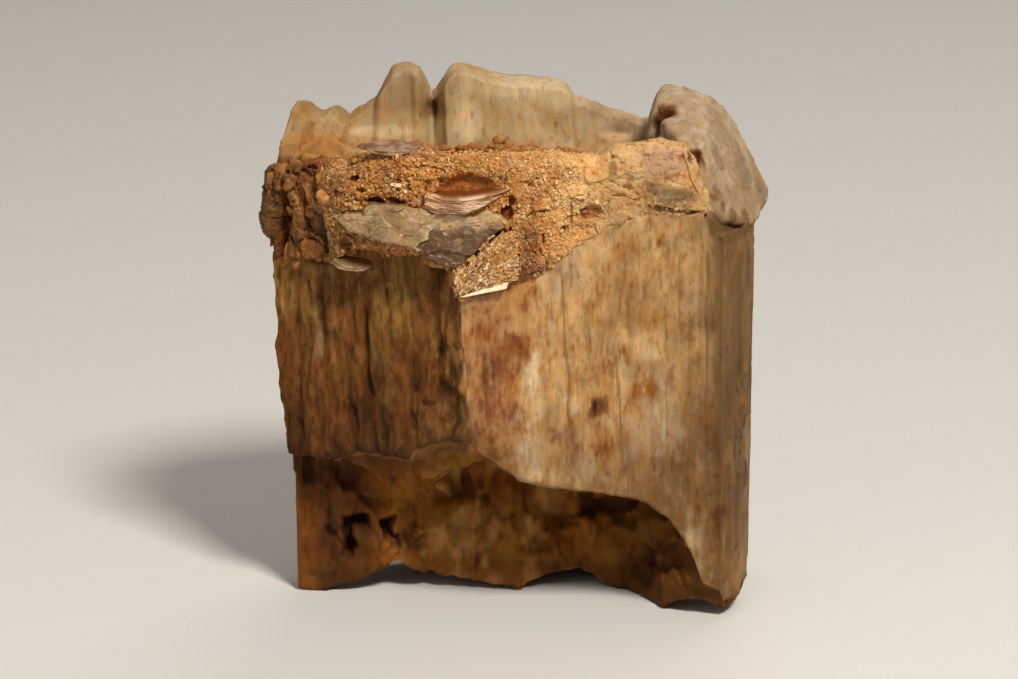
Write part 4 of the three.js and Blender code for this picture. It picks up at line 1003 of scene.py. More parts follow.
def crust_relief(p, facing):
    """The crust's relief, its holes, each grain's own number, how sugary and how knobbly it is, and where it
    is bare of grains. It is knobbly on the left, sugary in the middle and smooth and cleaved on the right."""
    x, _, z = p.T
    knobbly = smooth(-13.6, -15, x)
    sugar = (1 - knobbly) * np.clip(smooth(7.4, 4.4, x + 0.5 * (z - 34)) + 0.12 * smooth(34.5, 33.5, z), 0, 1)
    sugary, clumps, small, number = sugar_relief(p)
    relief = mix(mix(cleaved_relief(p), sugary, sugar), knob_relief(p, clumps, small), knobbly)
    ragged, grainy = 0.3 * fractal(p, 0.7, 77), 0.05 * fractal(p, 0.5, 78) + 0.3 * small
    for at_x, at_z, across, up, lift, slope_x, slope_z, turn in CRUST_FACETS:
        dx, dz = x - at_x, z - at_z
        run, climb = dx * np.cos(turn) + dz * np.sin(turn), dz * np.cos(turn) - dx * np.sin(turn)
        share_x, share_z = np.abs(run) / across, np.abs(climb) / up
        reach = np.hypot(share_x, share_z) * 0.6 + 0.5 * np.maximum(share_x, share_z)
        inside = smooth(1.12, 0.9, reach + ragged) * facing
        relief = mix(relief, 0.6 * lift + slope_x * run + slope_z * climb + grainy, inside)
        sugar = sugar * (1 - 0.6 * inside)
    plate, cavity = bare_places(p, facing)
    relief = mix(mix(relief, PLATE_SEAT, plate), 0.12 * fractal(p, 0.9, 79) + 0.3 * clumps, cavity)
    edge = 1 + 0.4 * noise(p, 0.35, 72)
    hole, bulge = np.zeros(len(p)), np.zeros(len(p))
    for *spot, depth in CRUST_DENTS:
        far = oval(x, z, *spot)
        if depth > 0:
            hole = np.maximum(hole, depth * smooth(1.6, 0.4, far * edge))
        else:
            bulge = np.maximum(bulge, -depth * np.exp(-far))
    for corners, width, depth in CRUST_CRACKS:
        hole = np.maximum(hole, depth * smooth(1.2, 0.4, near_line(x, z, corners) / width * edge))
    hole = hole * facing
    return relief + bulge * facing - hole, hole, number, sugar, knobbly, np.maximum(plate, cavity)


def crust_colours(p, relief, hole, number, sugar, knobbly):
    """Tints, and how far rust has soaked in: orange sugar in the middle, brown knobs on the left and cream on
    the right. Painted shade darkens the holes, the low places and the left end."""
    x, _, z = p.T
    cloud = fractal(p, 1.8, 81)
    patch = fractal(p, 0.8, 82)
    colour = layered(
        SUGAR,
        (CARAMEL, smooth(-0.1, 0.45, cloud - 0.03 * (x + 2))),
        (CREAM_SUGAR, 0.9 * smooth(-0.1, 0.5, 0.08 * (x + 0.5) - 0.7 * cloud + 0.5 * patch)),
        (PALE_SUGAR, 0.45 * smooth(0.72, 0.95, number)),
        (CARAMEL, 0.45 * smooth(0.3, 0.1, number)),
        # painted shade: burnt in the low places
        (BURNT, 0.75 * smooth(-0.1, -0.5, relief)))
    brown = layered(
        KNOB_BROWN,
        (KNOB_LIGHT, smooth(0.0, 0.5, relief + 0.4 * cloud + 0.06 * (x + 17))),
        # painted shade: umber in the low places between the knobs
        (UMBER, smooth(0.0, -0.6, relief)))
    colour = layered(
        mix(colour, brown, knobbly[:, None]),
        (GREY_BROWN, 0.5 * bump(x, -13.9, 1.1) * smooth(0.5, -0.2, patch)),
        # painted shade: umber towards the left end, which faces away from the light
        (UMBER, 0.2 * smooth(-15.5, -18, x + cloud) + 0.55 * smooth(-18, -19, x)))
    creamy = layered(
        BUTTER,
        (PALE_BUTTER, smooth(-0.2, 0.4, cloud)),
        (CARAMEL, 0.4 * smooth(0.2, 0.6, patch)),
        (CREAM, 0.8 * smooth(34.4, 33.2, z)))
    colour = mix(colour, creamy, (smooth(4.6, 7.4, x + 0.8 * cloud) * (1 - 0.4 * sugar))[:, None])
    for *spot, strength, shade in CRUST_STAINS:
        colour = tinted(colour, shade, strength * smooth(1.5, 0.2, oval(x, z, *spot) * (1 + 0.6 * patch)))
    rust = 0.12 + 0.22 * sugar * (1 - 0.6 * smooth(-1, 4, x)) + 0.15 * smooth(0, 0.5, patch)
    return layered(
        colour,
        # painted shade: burnt in the holes and cracks, and dark deep in them
        (BURNT, 0.9 * smooth(0.15, 0.6, hole)),
        (PAINTED_HOLE_SHADE, 0.9 * smooth(0.9, 1.6, hole))), rust


Crust = namedtuple("Crust", "points normals showing sugar knobbly hole colour")


def crust_piece(material):
    """The crust's skin. Gives back its points and normals, where grains may grow on it, how sugary and
    knobbly it is, its holes and its tints."""
    a, b, triangles = ring_lattice(*CRUST_CELLS)
    plain = crust_base(a, b)
    ends = [plain[:CRUST_CELLS[1]].mean(0), plain[-CRUST_CELLS[1]:].mean(0)]
    plain = np.concatenate([plain, ends])
    pulled = smooth(34, 36.2, plain[:, 2]) + 0.8 * smooth(30.4, 29, plain[:, 2])
    plain[:, 0] += 0.75 * pulled * smooth(-16.8, -19, plain[:, 0])
    a, b = np.append(a, (0, 1)), np.append(b, (0, 0))
    showing = smooth(0, 0.03, b) * smooth(0.94, 0.9, b) * smooth(0, 0.01, a) * smooth(1, 0.99, a)
    relief, hole, number, sugar, knobbly, bare = crust_relief(plain, smooth(0.78, 0.7, b))
    p = plain + normals_of(plain, triangles) * (relief * showing)[:, None]
    colour, rust = crust_colours(plain, mix(relief + hole, 0.1, bare), hole * (1 - bare), number, sugar,
                                 knobbly)
    gloss = np.where(number > 0.93, 1.0, 0.35 + 0.1 * (1 - sugar))
    piece = mesh_object("albite_skin", p, triangles, colour, gloss, np.clip(sugar + knobbly, 0.15, 1), rust)
    finished(piece, material, "albite_crust")
    return Crust(p, normals_of(p, triangles), showing * (1 - bare), sugar, knobbly, hole, colour)


# ---- Small crystals that grow on the crust -------------------------------------------------------

BOX_CORNERS = np.array([(i, j, k) for i in (-1, 1) for j in (-1, 1) for k in (-1, 1)], float)
BOX_SIDES = np.array([(0, 1, 3, 2), (4, 6, 7, 5), (0, 4, 5, 1), (2, 3, 7, 6), (0, 2, 6, 4), (1, 5, 7, 3)])


def turned_frames(first, second):
    """Three directions at right angles for each crystal: its first, then its second squared up to it, then
    across."""
    e1 = first / np.linalg.norm(first, axis=1, keepdims=True)
    e2 = second - (second * e1).sum(1, keepdims=True) * e1
    e2 /= np.linalg.norm(e2, axis=1, keepdims=True)
    return np.stack([e1, e2, np.cross(e1, e2)], 1)


def small_blocks(name, places, frames, halves, colours, gloss, material, draw, taper=1.0, rust=0.0):
    """Small cleaved blocks of albite: a box for each place, narrowed towards its start by the taper, each
    corner pulled in a little by chance, turned into its frame."""
    count = len(places)
    narrow = np.where(BOX_CORNERS[None, :, :1] < 0, np.broadcast_to(taper, count)[:, None, None], 1)
    shaped = BOX_CORNERS[None] * np.concatenate([narrow * 0 + 1, narrow, narrow], 2)
    pulled = shaped * halves[:, None] * draw.uniform(0.62, 1.0, (count, 8, 3))
    points = places[:, None] + np.einsum("nck,nkd->ncd", pulled, frames)
    piece = mesh_object(name, points.reshape(-1, 3), repeated(BOX_SIDES, 8, count), np.repeat(colours, 8, 0),
                        np.repeat(np.broadcast_to(gloss, count), 8), 0.5, rust, smooth_shading=False)
    return finished(piece, material, "albite_crust")


def sugar_grains(name, crust, count, smallest, largest, seed, material):
    """Albite grains scattered over the sugary part, half sunk in it, tinted as the crust there."""
    draw = np.random.default_rng(seed)
    chance = crust.showing * np.clip(crust.sugar + 0.16 * crust.knobbly, 0.004, 1)
    chance = chance * (crust.points[:, 1] < -2) * (crust.hole < 0.3)
    chosen = draw.choice(len(chance), count, replace=False, p=chance / chance.sum())
    knobbly = crust.knobbly[chosen]
    size = smallest + (largest - smallest) * draw.random(count) ** 2.2
    halves = size[:, None] * draw.uniform(0.55, 1.2, (count, 3))
    frames = turned_frames(draw.normal(size=(count, 3)), draw.normal(size=(count, 3)))
    light = draw.random(count)
    tints = layered(
        crust.colour[chosen],
        (PALE_SUGAR, 0.55 * smooth(0.6, 1, light) * (1 - knobbly)),
        (CARAMEL, 0.4 * smooth(0.3, 0, light)))
    gloss = np.where((draw.random(count) > 0.88) & (knobbly < 0.5), 1.0, 0.35)
    places = crust.points[chosen] + crust.normals[chosen] * (0.1 * size)[:, None]
    small_blocks(name, places, frames, halves, tints, gloss, material, draw)


FAN_ROOT = np.array([-4.9, 0, 25.9])
BLADES = 1300


def fan_blades(crust, material):
    """Short blades that spread up and to the right from one root below the plate, tipped out of the crust."""
    draw = np.random.default_rng(9)
    x, _, z = crust.points.T
    inside = ((z > 26.9 + 0.28 * (x + 4.3)) & (z < 29.0 + 0.95 * (x + 4.3)) & (x > -4.5) & (x < 0.3)
              & (z < 31.6))
    free = np.flatnonzero(inside & (crust.showing > 0.9) & (crust.hole < 0.4))
    chosen = draw.choice(free, BLADES, replace=True)
    middles, normals = crust.points[chosen], crust.normals[chosen]
    away = (middles - FAN_ROOT) * (1, 0, 1)
    away /= np.linalg.norm(away, axis=1, keepdims=True)
    away += normals * draw.uniform(0.0, 0.5, (BLADES, 1)) + draw.normal(0, 0.3, (BLADES, 3))
    halves = np.stack([draw.uniform(0.12, 0.42, BLADES), draw.uniform(0.05, 0.16, BLADES),
                       draw.uniform(0.02, 0.05, BLADES)], 1)
    frames = turned_frames(away, draw.normal(size=(BLADES, 3)))
    light = draw.random(BLADES)
    tints = layered(
        mix(CREAM_SUGAR, SUGAR, 0.5),
        (FAN_PALE, smooth(0.6, 0.95, light)),
        (BURNT, 0.9 * smooth(0.45, 0.15, light) * smooth(0.5, -2.5, middles[:, 0])),
        (SUGAR, 0.4 * smooth(-2.5, 0, middles[:, 0])))
    gloss = np.where(draw.random(BLADES) > 0.7, 1.0, 0.5)
    places = middles + normals * 0.03 + draw.normal(0, 0.03, (BLADES, 3))
    small_blocks("albite_fan", places, frames, halves, tints, gloss, material, draw)


CLEAVAGES = (  # middle, direction of its length, of its width, half length, width, thickness, taper, colour
    ((-2.25, -9.85, 27.2), (1, 0.02, 0.27), (-0.27, 0.55, 1), 2.2, 0.36, 0.09, 0.15, "#f8e0b8"),
    ((-1.7, -9.8, 27.75), (1, 0.02, 0.3), (-0.3, 0.4, 1), 0.7, 0.26, 0.08, 0.4, "#dcb27c"),
    ((0.35, -9.45, 28.5), (0.1, 0.05, 1), (1, 0.3, -0.1), 0.5, 0.16, 0.12, 0.5, "#d2a97c"),
    ((-8.9, -8.95, 35.3), (1, -0.2, -0.1), (0.1, 0.5, 1), 0.5, 0.2, 0.1, 0.6, "#e4c69c"),
    ((-8.3, -8.95, 34.85), (1, -0.2, -0.5), (0.5, 0.4, 1), 0.28, 0.14, 0.08, 0.6, "#ecd2aa"),
    ((12.6, -8.0, 37.4), (1, 0.2, -0.3), (0.3, 0.5, 1), 0.6, 0.3, 0.15, 0.9, "#bd9a6c"))


def cleavage_blocks(material):
    """The larger cleaved faces of albite: blocks with one flat face towards the light, set one by one."""
    places, first, second = (np.array(rows, float) for rows in list(zip(*CLEAVAGES))[:3])
    halves = np.array([row[3:6] for row in CLEAVAGES], float)
    taper = np.array([row[6] for row in CLEAVAGES])
    colours = np.array([tone(row[7]) for row in CLEAVAGES])
    draw = np.random.default_rng(12)
    piece = small_blocks("albite_cleavages", places, turned_frames(first, second), halves, colours, 0.7,
                         material, draw, taper, 0.1)
    bevel = piece.modifiers.new("worn edges", "BEVEL")
    bevel.width = 0.06 * MM
    bevel.segments = 2


LUMP_SPACING = 7.3  # how far apart the lumps read the noise, so that no two are alike


def lumps(name, places, radii, colours, seed, material, rows, columns, rough=0.45):
    """Rounded lumps of the crust: a ball for each place, its radius changed by noise over its own skin. Each
    is darker where its skin sinks and paler where it swells: painted shade and painted light.
    """
    directions, triangles = lattice_ball(rows, columns)
    shift = LUMP_SPACING * np.arange(len(places))[:, None, None]
    swell = 1 + rough * fractal(directions[None] * 1.6 + shift, 1.3, seed, 3)
    points = places[:, None] + directions[None] * swell[..., None] * radii[:, None]
    # painted shade and painted light: darker where the skin sinks, paler where it swells
    shade = colours[:, None] * (0.5 + 0.5 * swell[..., None])
    piece = mesh_object(name, points.reshape(-1, 3), repeated(triangles, len(directions), len(places)),
                        shade.reshape(-1, 3), 0.3, 0.7)
    finished(piece, material, "albite_crust")


RIM_CRUMBS, SIDE_KNOBS = 620, 30
CRUMB_HEAPS = (  # x, half length and height of each heap, behind the front rim
    (-11.2, 1.3, 0.5), (-7.4, 1.1, 0.85), (-5.4, 0.6, 0.5), (-3.6, 0.9, 0.6), (-0.9, 1.2, 1.0),
    (1.2, 1.3, 0.4), (3.6, 1.2, 0.3))


def rim_crumbs(material):
    """Rusty crumbs in low heaps along the inner edge of the crust: each lies at a depth and height drawn for
    it, and a heap's height falls off as a soft hill along x."""
    draw = np.random.default_rng(21)
    x = draw.uniform(-12.6, 5.6, RIM_CRUMBS)
    heap = np.max([height * bump(x, middle, half) for middle, half, height in CRUMB_HEAPS], axis=0)
    behind = draw.uniform(-0.4, 2.4, RIM_CRUMBS)
    high = draw.random(RIM_CRUMBS)
    z = along(FRONT_RIM_Z, x) - 0.95 + high * (0.25 + heap * bump(behind, 1.0, 1.2))
    size = (0.13 + 0.2 * draw.random(RIM_CRUMBS) ** 1.5) * (0.7 + 0.7 * heap)
    radii = size[:, None] * draw.uniform(0.7, 1.25, (RIM_CRUMBS, 3)) * np.array([1.25, 1.1, 0.9])
    colours = layered(
        CRUMB,
        (RUST, 0.8 * draw.random(RIM_CRUMBS)),
        (SUGAR, 0.6 * smooth(0.7, 1, draw.random(RIM_CRUMBS))))
    places = points_at(x, along(CRUST_INNER, x) + behind, z)
    lumps("albite_rim_crumbs", places, radii, colours, 23, material, 7, 10)


def side_knobs(crust, material):
    """Knobs of brown crust on the left end, up to a millimetre across and mostly tall."""
    draw = np.random.default_rng(31)
    chance = (crust.showing > 0.9) * (crust.knobbly > 0.6) * (crust.hole < 0.3)
    chosen = draw.choice(len(chance), SIDE_KNOBS, replace=False, p=chance / chance.sum())
    size = 0.2 + 0.4 * draw.random(SIDE_KNOBS)
    radii = size[:, None] * draw.uniform(0.7, 1.2, (SIDE_KNOBS, 3)) * np.array([1.1, 0.9, 1.4])
    colours = tinted(crust.colour[chosen], KNOB_LIGHT, 0.5 * draw.random(SIDE_KNOBS))
    places = crust.points[chosen] - crust.normals[chosen] * (0.4 * size)[:, None]
    lumps("albite_side_knobs", places, radii, colours, 33, material, 12, 18, 1.1)


# ---- The feldspar plate --------------------------------------------------------------------------

PLATE_TOP = ((-13.4, 32.6), (-12.8, 33.0), (-11.5, 33.05), (-11.35, 33.5), (-10.9, 33.75), (-8.8, 33.85),
             (-8.2, 33.7), (-6.2, 33.5), (-4.2, 33.3), (-3.1, 33.1), (-2.1, 33.45), (-1.2, 33.3),
             (-0.4, 32.5))
PLATE_BASE = ((-13.4, 32.4), (-12.6, 31.6), (-11.4, 31.4), (-10.7, 31.0), (-9.1, 30.9), (-8.2, 30.6),
              (-7.5, 30.3), (-6.9, 29.8), (-6.3, 29.45), (-5.3, 29.05), (-4.4, 28.95), (-3.4, 29.7),
              (-2.7, 30.3), (-2.2, 31), (-1.8, 31.45), (-0.4, 32.1))
PLATE_FRONT_Y = ((-13.4, -8.75), (-11.2, -9.55), (-9, -10.15), (-6, -10.25), (-2, -10.15), (-0.4, -9.85))
PLATE_BACK_Y = -7.6
PLATE_STEP_X = (  # (z, x) up the ragged step between the plate's two halves
    (29, -7.9), (31.0, -7.2), (31.3, -6.7), (32.0, -6.2), (32.5, -6.35), (33.2, -5.9), (34, -6.0))
PLATE_CELLS = (216, 8, 84)
PLATE_EDGE = 0.3  # how wide its hackly edge is


def feldspar_piece(material):
    """A cleaved plate: between a lower and an upper outline for each x, with a raised left half that ends in
    a ragged step, flat cleavage chips, and a hackly edge."""
    uvw, quads = lattice_box(*PLATE_CELLS)
    u, v, w = uvw.T
    x = mix(PLATE_TOP[0][0], PLATE_TOP[-1][0], u)
    line = points_at(x)
    top = along(PLATE_TOP, x) + 0.07 * pillars(x, 0.5, 91, 0.4) + 0.08 * fractal(line, 0.6, 92)
    base = along(PLATE_BASE, x) + 0.06 * pillars(x, 0.4, 93, 0.4) + 0.08 * fractal(line + 40, 0.5, 94)
    z = mix(np.minimum(base, top - 0.05), top, w)
    flat = points_at(x, 0, z)
    step_at = along(PLATE_STEP_X, z) + 0.2 * pillars(z, 0.3, 95, 0.5) + 0.2 * fractal(flat, 0.5, 96)
    raised = smooth(0.08, -0.08, x - step_at)
    inward = np.minimum(np.minimum(w, 1 - w) * (top - base), 13 * np.minimum(u, 1 - u)) / PLATE_EDGE
    edge = 1 - np.minimum(1, inward)
    _, _, chip, chip_tilt = grains(flat, (1.9, 1, 0.9), 97)
    _, _, flake, flake_tilt = grains(flat, (0.42, 1, 0.36), 98)
    depth = 0.3 * (1 - raised) + 0.14 * (chip - 0.5) + 0.16 * chip_tilt
    depth = depth + (0.05 + 0.04 * (1 - raised)) * (flake - 0.5) + 0.055 * flake_tilt
    depth = depth + 0.3 * edge**2 + 0.05 * fractal(flat, 0.6, 99)
    depth = depth + 0.3 * smooth(30.9, 30.3, z) * smooth(-6, -8, x)
    p = points_at(x, mix(along(PLATE_FRONT_Y, x) + depth, PLATE_BACK_Y, v), z)
    cloud = fractal(flat, 1.3, 100)
    fine = fractal(flat, 0.5, 101)
    violet = layered(
        FELD_VIOLET,
        (FELD_GREY, smooth(-0.3, 0.4, cloud + 0.5 * fine)),
        # painted light along the top of the plate
        (FELD_PAINTED_TOP_LIGHT, 0.95 * smooth(31.7, 32.7, z + 0.4 * cloud)),
        (FELD_EDGE, 0.25 * smooth(0.7, 1, flake)))
    olive = layered(
        FELD_OLIVE,
        (FELD_BEIGE, smooth(-0.3, 0.4, cloud + 0.6 * (chip - 0.5))),
        (FELD_PALE, 0.7 * smooth(-10.8, -12, x)),
        (FELD_EDGE, 0.35 * smooth(0.2, 0.5, fine)))
    colour = layered(
        mix(violet, olive, raised[:, None]),
        (FELD_EDGE, 0.8 * bump(x, step_at - 0.1, 0.11) * (v < 0.5)),
        (FELD_EDGE, 0.3 * smooth(0.75, 1, edge) * smooth(31.5, 33, z)),
        # painted shadow: umber along the lower left, where the plate overhangs the crust; the plate is also
        # darker over its back half
        (UMBER, 0.45 * smooth(30.7, 30.2, z) * smooth(-6.5, -7.5, x) + 0.5 * (v > 0.3)))
    gloss = 0.45 + 0.55 * (flake > 0.86)
    piece = mesh_object("feldspar_cleavage_plate", p, quads, colour, gloss, 0.3, 0.06)
    finished(piece, material, "feldspar_plate")


# ---- The mica ------------------------------------------------------------------------------------

BOOK_CELLS = (84, 12, 1)
BOOK_SHEETS = 24
BOOK_PITCH = 0.042
BOOK_LOW_Z = 33.34
BOOK_BACK_Y = -7.6


def book_piece(material):
    """A book of mica: thin sheets one on another, each bowed up towards its right tip and tipped up at the
    back, and each set in or out a little from the one below. The lower sheets end sooner on the right."""
    uvw, quads = lattice_box(*BOOK_CELLS)
    u, v, w = uvw.T
    draw = np.random.default_rng(41)
    share = np.arange(BOOK_SHEETS) / (BOOK_SHEETS - 1)
    left = -6.75 + 0.1 * share + draw.uniform(-0.15, 0.25, BOOK_SHEETS)
    right = mix(-3.0, 0.0, share ** 0.75) + draw.uniform(-0.35, 0.1, BOOK_SHEETS)
    front = -10.45 + 0.26 * share + draw.uniform(-0.03, 0.1, BOOK_SHEETS)
    front[-1], right[-1], left[-1] = -10.22, 0.0, -6.3
    ends = 0.5 * bump(u, 0, 0.12) + 0.4 * bump(u, 1, 0.1)
    points, tints, gloss = [], [], []
    for i in range(BOOK_SHEETS):
        x = mix(left[i], right[i], u)
        line = points_at(x, 0.35 * i)
        ragged = 0.08 * noise(line, 0.6, 45) + 0.04 * pillars(x, 0.35, 46 + i, 0.5)
        y = mix(front[i] + ragged + ends, BOOK_BACK_Y, v)
        bow = 0.8 * smooth(-4.4, 0.5, x) ** 1.3 + 0.12 * smooth(-5, -7, x)
        rise = np.minimum(0.34 * (y + 10.3), 0.62)
        z = BOOK_LOW_Z + BOOK_PITCH * i + bow + rise + w * BOOK_PITCH * 0.82 + 0.02 * noise(line, 1.8, 44)
        points.append(points_at(x, y, z))
        silky = smooth(-0.2, 0.6, noise(line, 1.6, 47) + 0.9 * draw.uniform(-0.5, 0.9))
        tints.append(layered(
            MICA,
            # painted sheen: pale along each sheet's front edge where the silky noise is high
            (MICA_PALE, 0.85 * silky * bump(v, 0, 0.2)),
            (MICA_DARK, 0.5 * (1 - silky) * draw.random()),
            (MICA_BROWN, smooth(0.05, 0.3, v) + 0.5 * smooth(-1.6, -0.4, x) * (1 - silky))))
        gloss.append(0.75 + 0.25 * silky)
    piece = mesh_object("lepidolite_sheets", np.concatenate(points), repeated(quads, len(uvw), BOOK_SHEETS),
                        np.concatenate(tints), np.concatenate(gloss))
    finished(piece, material, "lepidolite_book")


LEAF_CELLS = (14, 64)


def mica_leaves(name, node, middle, radii, tilt, count, colour, seed, material):
    """Leaves of mica one on another: round plates with ragged edges, r = 1 + noise of the turn, each smaller
    and moved a little."""
    directions, triangles = lattice_ball(*LEAF_CELLS)
    draw = np.random.default_rng(seed)
    turn = np.arctan2(directions[:, 1], directions[:, 0])
    flat = np.sign(directions[:, 2]) * np.abs(directions[:, 2]) ** 0.6
    points, tints = [], []
    for i in range(count):
        ring = points_at(np.cos(turn) * 1.7, np.sin(turn) * 1.7, 5 * i)
        ragged = 1 + 0.26 * fractal(ring, 0.8, seed + i) - 0.1 * i
        x = directions[:, 0] * radii[0] * ragged + draw.uniform(-0.15, 0.15)
        y = directions[:, 1] * radii[1] * ragged + draw.uniform(-0.1, 0.1)
        plan = points_at(x, y, i)
        z = flat * radii[2] / count + (i - (count - 1) / 2) * 0.8 * radii[2] / count
        z = z + tilt[0] * x + tilt[1] * y
        z = z + 0.05 * noise(plan, 1.1, seed + 50) + 0.06 * fractal(plan, 0.5, seed + 52, 3)
        points.append(points_at(x, y, z) + np.array(middle))
        mottle = noise(plan, 0.9, seed + 51)
        tints.append(layered(
            colour,
            (MICA_PALE, 0.2 * smooth(0.0, 0.8, mottle)),
            (MICA_BROWN, 0.6 * smooth(0.0, -0.6, mottle))))
    piece = mesh_object(name, np.concatenate(points), repeated(triangles, len(directions), count),
                        np.concatenate(tints), 0.45)
    finished(piece, material, node)


# ---- Materials -----------------------------------------------------------------------------------

COLOUR_A, COLOUR_B, COLOUR_OUT = 6, 7, 2  # the mix node's colour sockets
WHITE = (1, 1, 1)
GRAIN_TILT = 0.055  # how far the grain of the stone leans, in radians
VEIL_STOPS = ((0.3, (1.2, 1.22, 1.28)), (0.43, (1.04, 1.05, 1.04)), (0.52, (0.97, 0.92, 0.84)),
              (0.6, (0.86, 0.74, 0.56)), (0.72, (0.62, 0.47, 0.32)))  # milky, plain, honey, amber and brown
WARMER, COOLER = (1.07, 1.0, 0.88), (0.94, 0.99, 1.1)
BUMP_HEIGHT = 0.06 * MM
SUBSURFACE_RADIUS, SUBSURFACE_SCALE = (1.0, 0.55, 0.25), 0.7 * MM


class Nodes:
    """A new material and its node tree. Each sum is one node, and gives back the socket with its result."""

    def __init__(self, name):
        self.material = bpy.data.materials.new(name)
        self.material.use_nodes = True
        self.tree = self.material.node_tree
        self.link = self.tree.links.new
        self.shader = self.tree.nodes["Principled BSDF"]

    def add(self, kind, **values):
        """A node of a kind, with values for its sockets or its own settings."""
        node = self.tree.nodes.new(kind)
        for key, value in values.items():
            if key in node.inputs:
                node.inputs[key].default_value = value
            else:
                setattr(node, key, value)
        return node

    def attribute(self, name, output="Fac"):
        """A number or a colour that the mesh stores."""
        return self.add("ShaderNodeAttribute", attribute_name=name).outputs[output]

    def ranged(self, value, low, high, start, end):
        """A value carried from the range low to high into the range start to end, and held there."""
        node = self.add("ShaderNodeMapRange")
        for key, number in (("From Min", low), ("From Max", high), ("To Min", start), ("To Max", end)):
            node.inputs[key].default_value = number
        self.link(value, node.inputs["Value"])
        return node.outputs["Result"]

    def combined(self, operation, a, b):
        """Two values, each a socket or a number, put together."""
        node = self.add("ShaderNodeMath", operation=operation)
        for socket, value in zip(node.inputs, (a, b)):
            if isinstance(value, (int, float)):
                socket.default_value = value
            else:
                self.link(value, socket)
        return node.outputs["Value"]

    def plus(self, a, b):
        """a + b."""
        return self.combined("ADD", a, b)

    def minus(self, a, b):
        """a - b."""
        return self.combined("SUBTRACT", a, b)

    def times(self, a, b):
        """a b."""
        return self.combined("MULTIPLY", a, b)

    def between(self, share, a, b):
        """The colour a where the share is 0 and b where it is 1; each is a socket or three numbers."""
        node = self.add("ShaderNodeMix", data_type="RGBA")
        self.link(share, node.inputs["Factor"])
        for place, colour in ((COLOUR_A, a), (COLOUR_B, b)):
            if isinstance(colour, tuple):
                node.inputs[place].default_value = (*colour, 1)
            else:
                self.link(colour, node.inputs[place])
        return node.outputs[COLOUR_OUT]

    def tinted_by(self, colour, other):
        """Two colours multiplied."""
        node = self.add("ShaderNodeVectorMath", operation="MULTIPLY")
        self.link(colour, node.inputs[0])
        self.link(other, node.inputs[1])
        return node.outputs["Vector"]

    def scaled(self, colour, factor):
        """A colour times a number."""
        node = self.add("ShaderNodeVectorMath", operation="SCALE")
        self.link(colour, node.inputs[0])
        self.link(factor, node.inputs["Scale"])
        return node.outputs["Vector"]

    def ramp(self, value, stops):
        """The colour at a value, from (value, colour) stops."""
        node = self.add("ShaderNodeValToRGB")
        self.link(value, node.inputs["Fac"])
        elements = node.color_ramp.elements
        for place, _ in stops[2:]:
            elements.new(place)
        for element, (place, colour) in zip(elements, stops):
            element.position, element.color = place, (*colour, 1)
        return node.outputs["Color"]

    def noise(self, place, across, up, detail, turn=GRAIN_TILT, distortion=0.0):
        """Noise at a place, stretched to the given width and height in millimetres and turned to lean."""
        mapping = self.add("ShaderNodeMapping", Rotation=(0, turn, 0),
                           Scale=(1000 / across, 1000 / across, 1000 / up))
        self.link(place, mapping.inputs["Vector"])
        node = self.add("ShaderNodeTexNoise", Scale=1.0, Detail=detail, Roughness=0.6, Distortion=distortion)
        self.link(mapping.outputs["Vector"], node.inputs["Vector"])
        return node.outputs["Fac"]


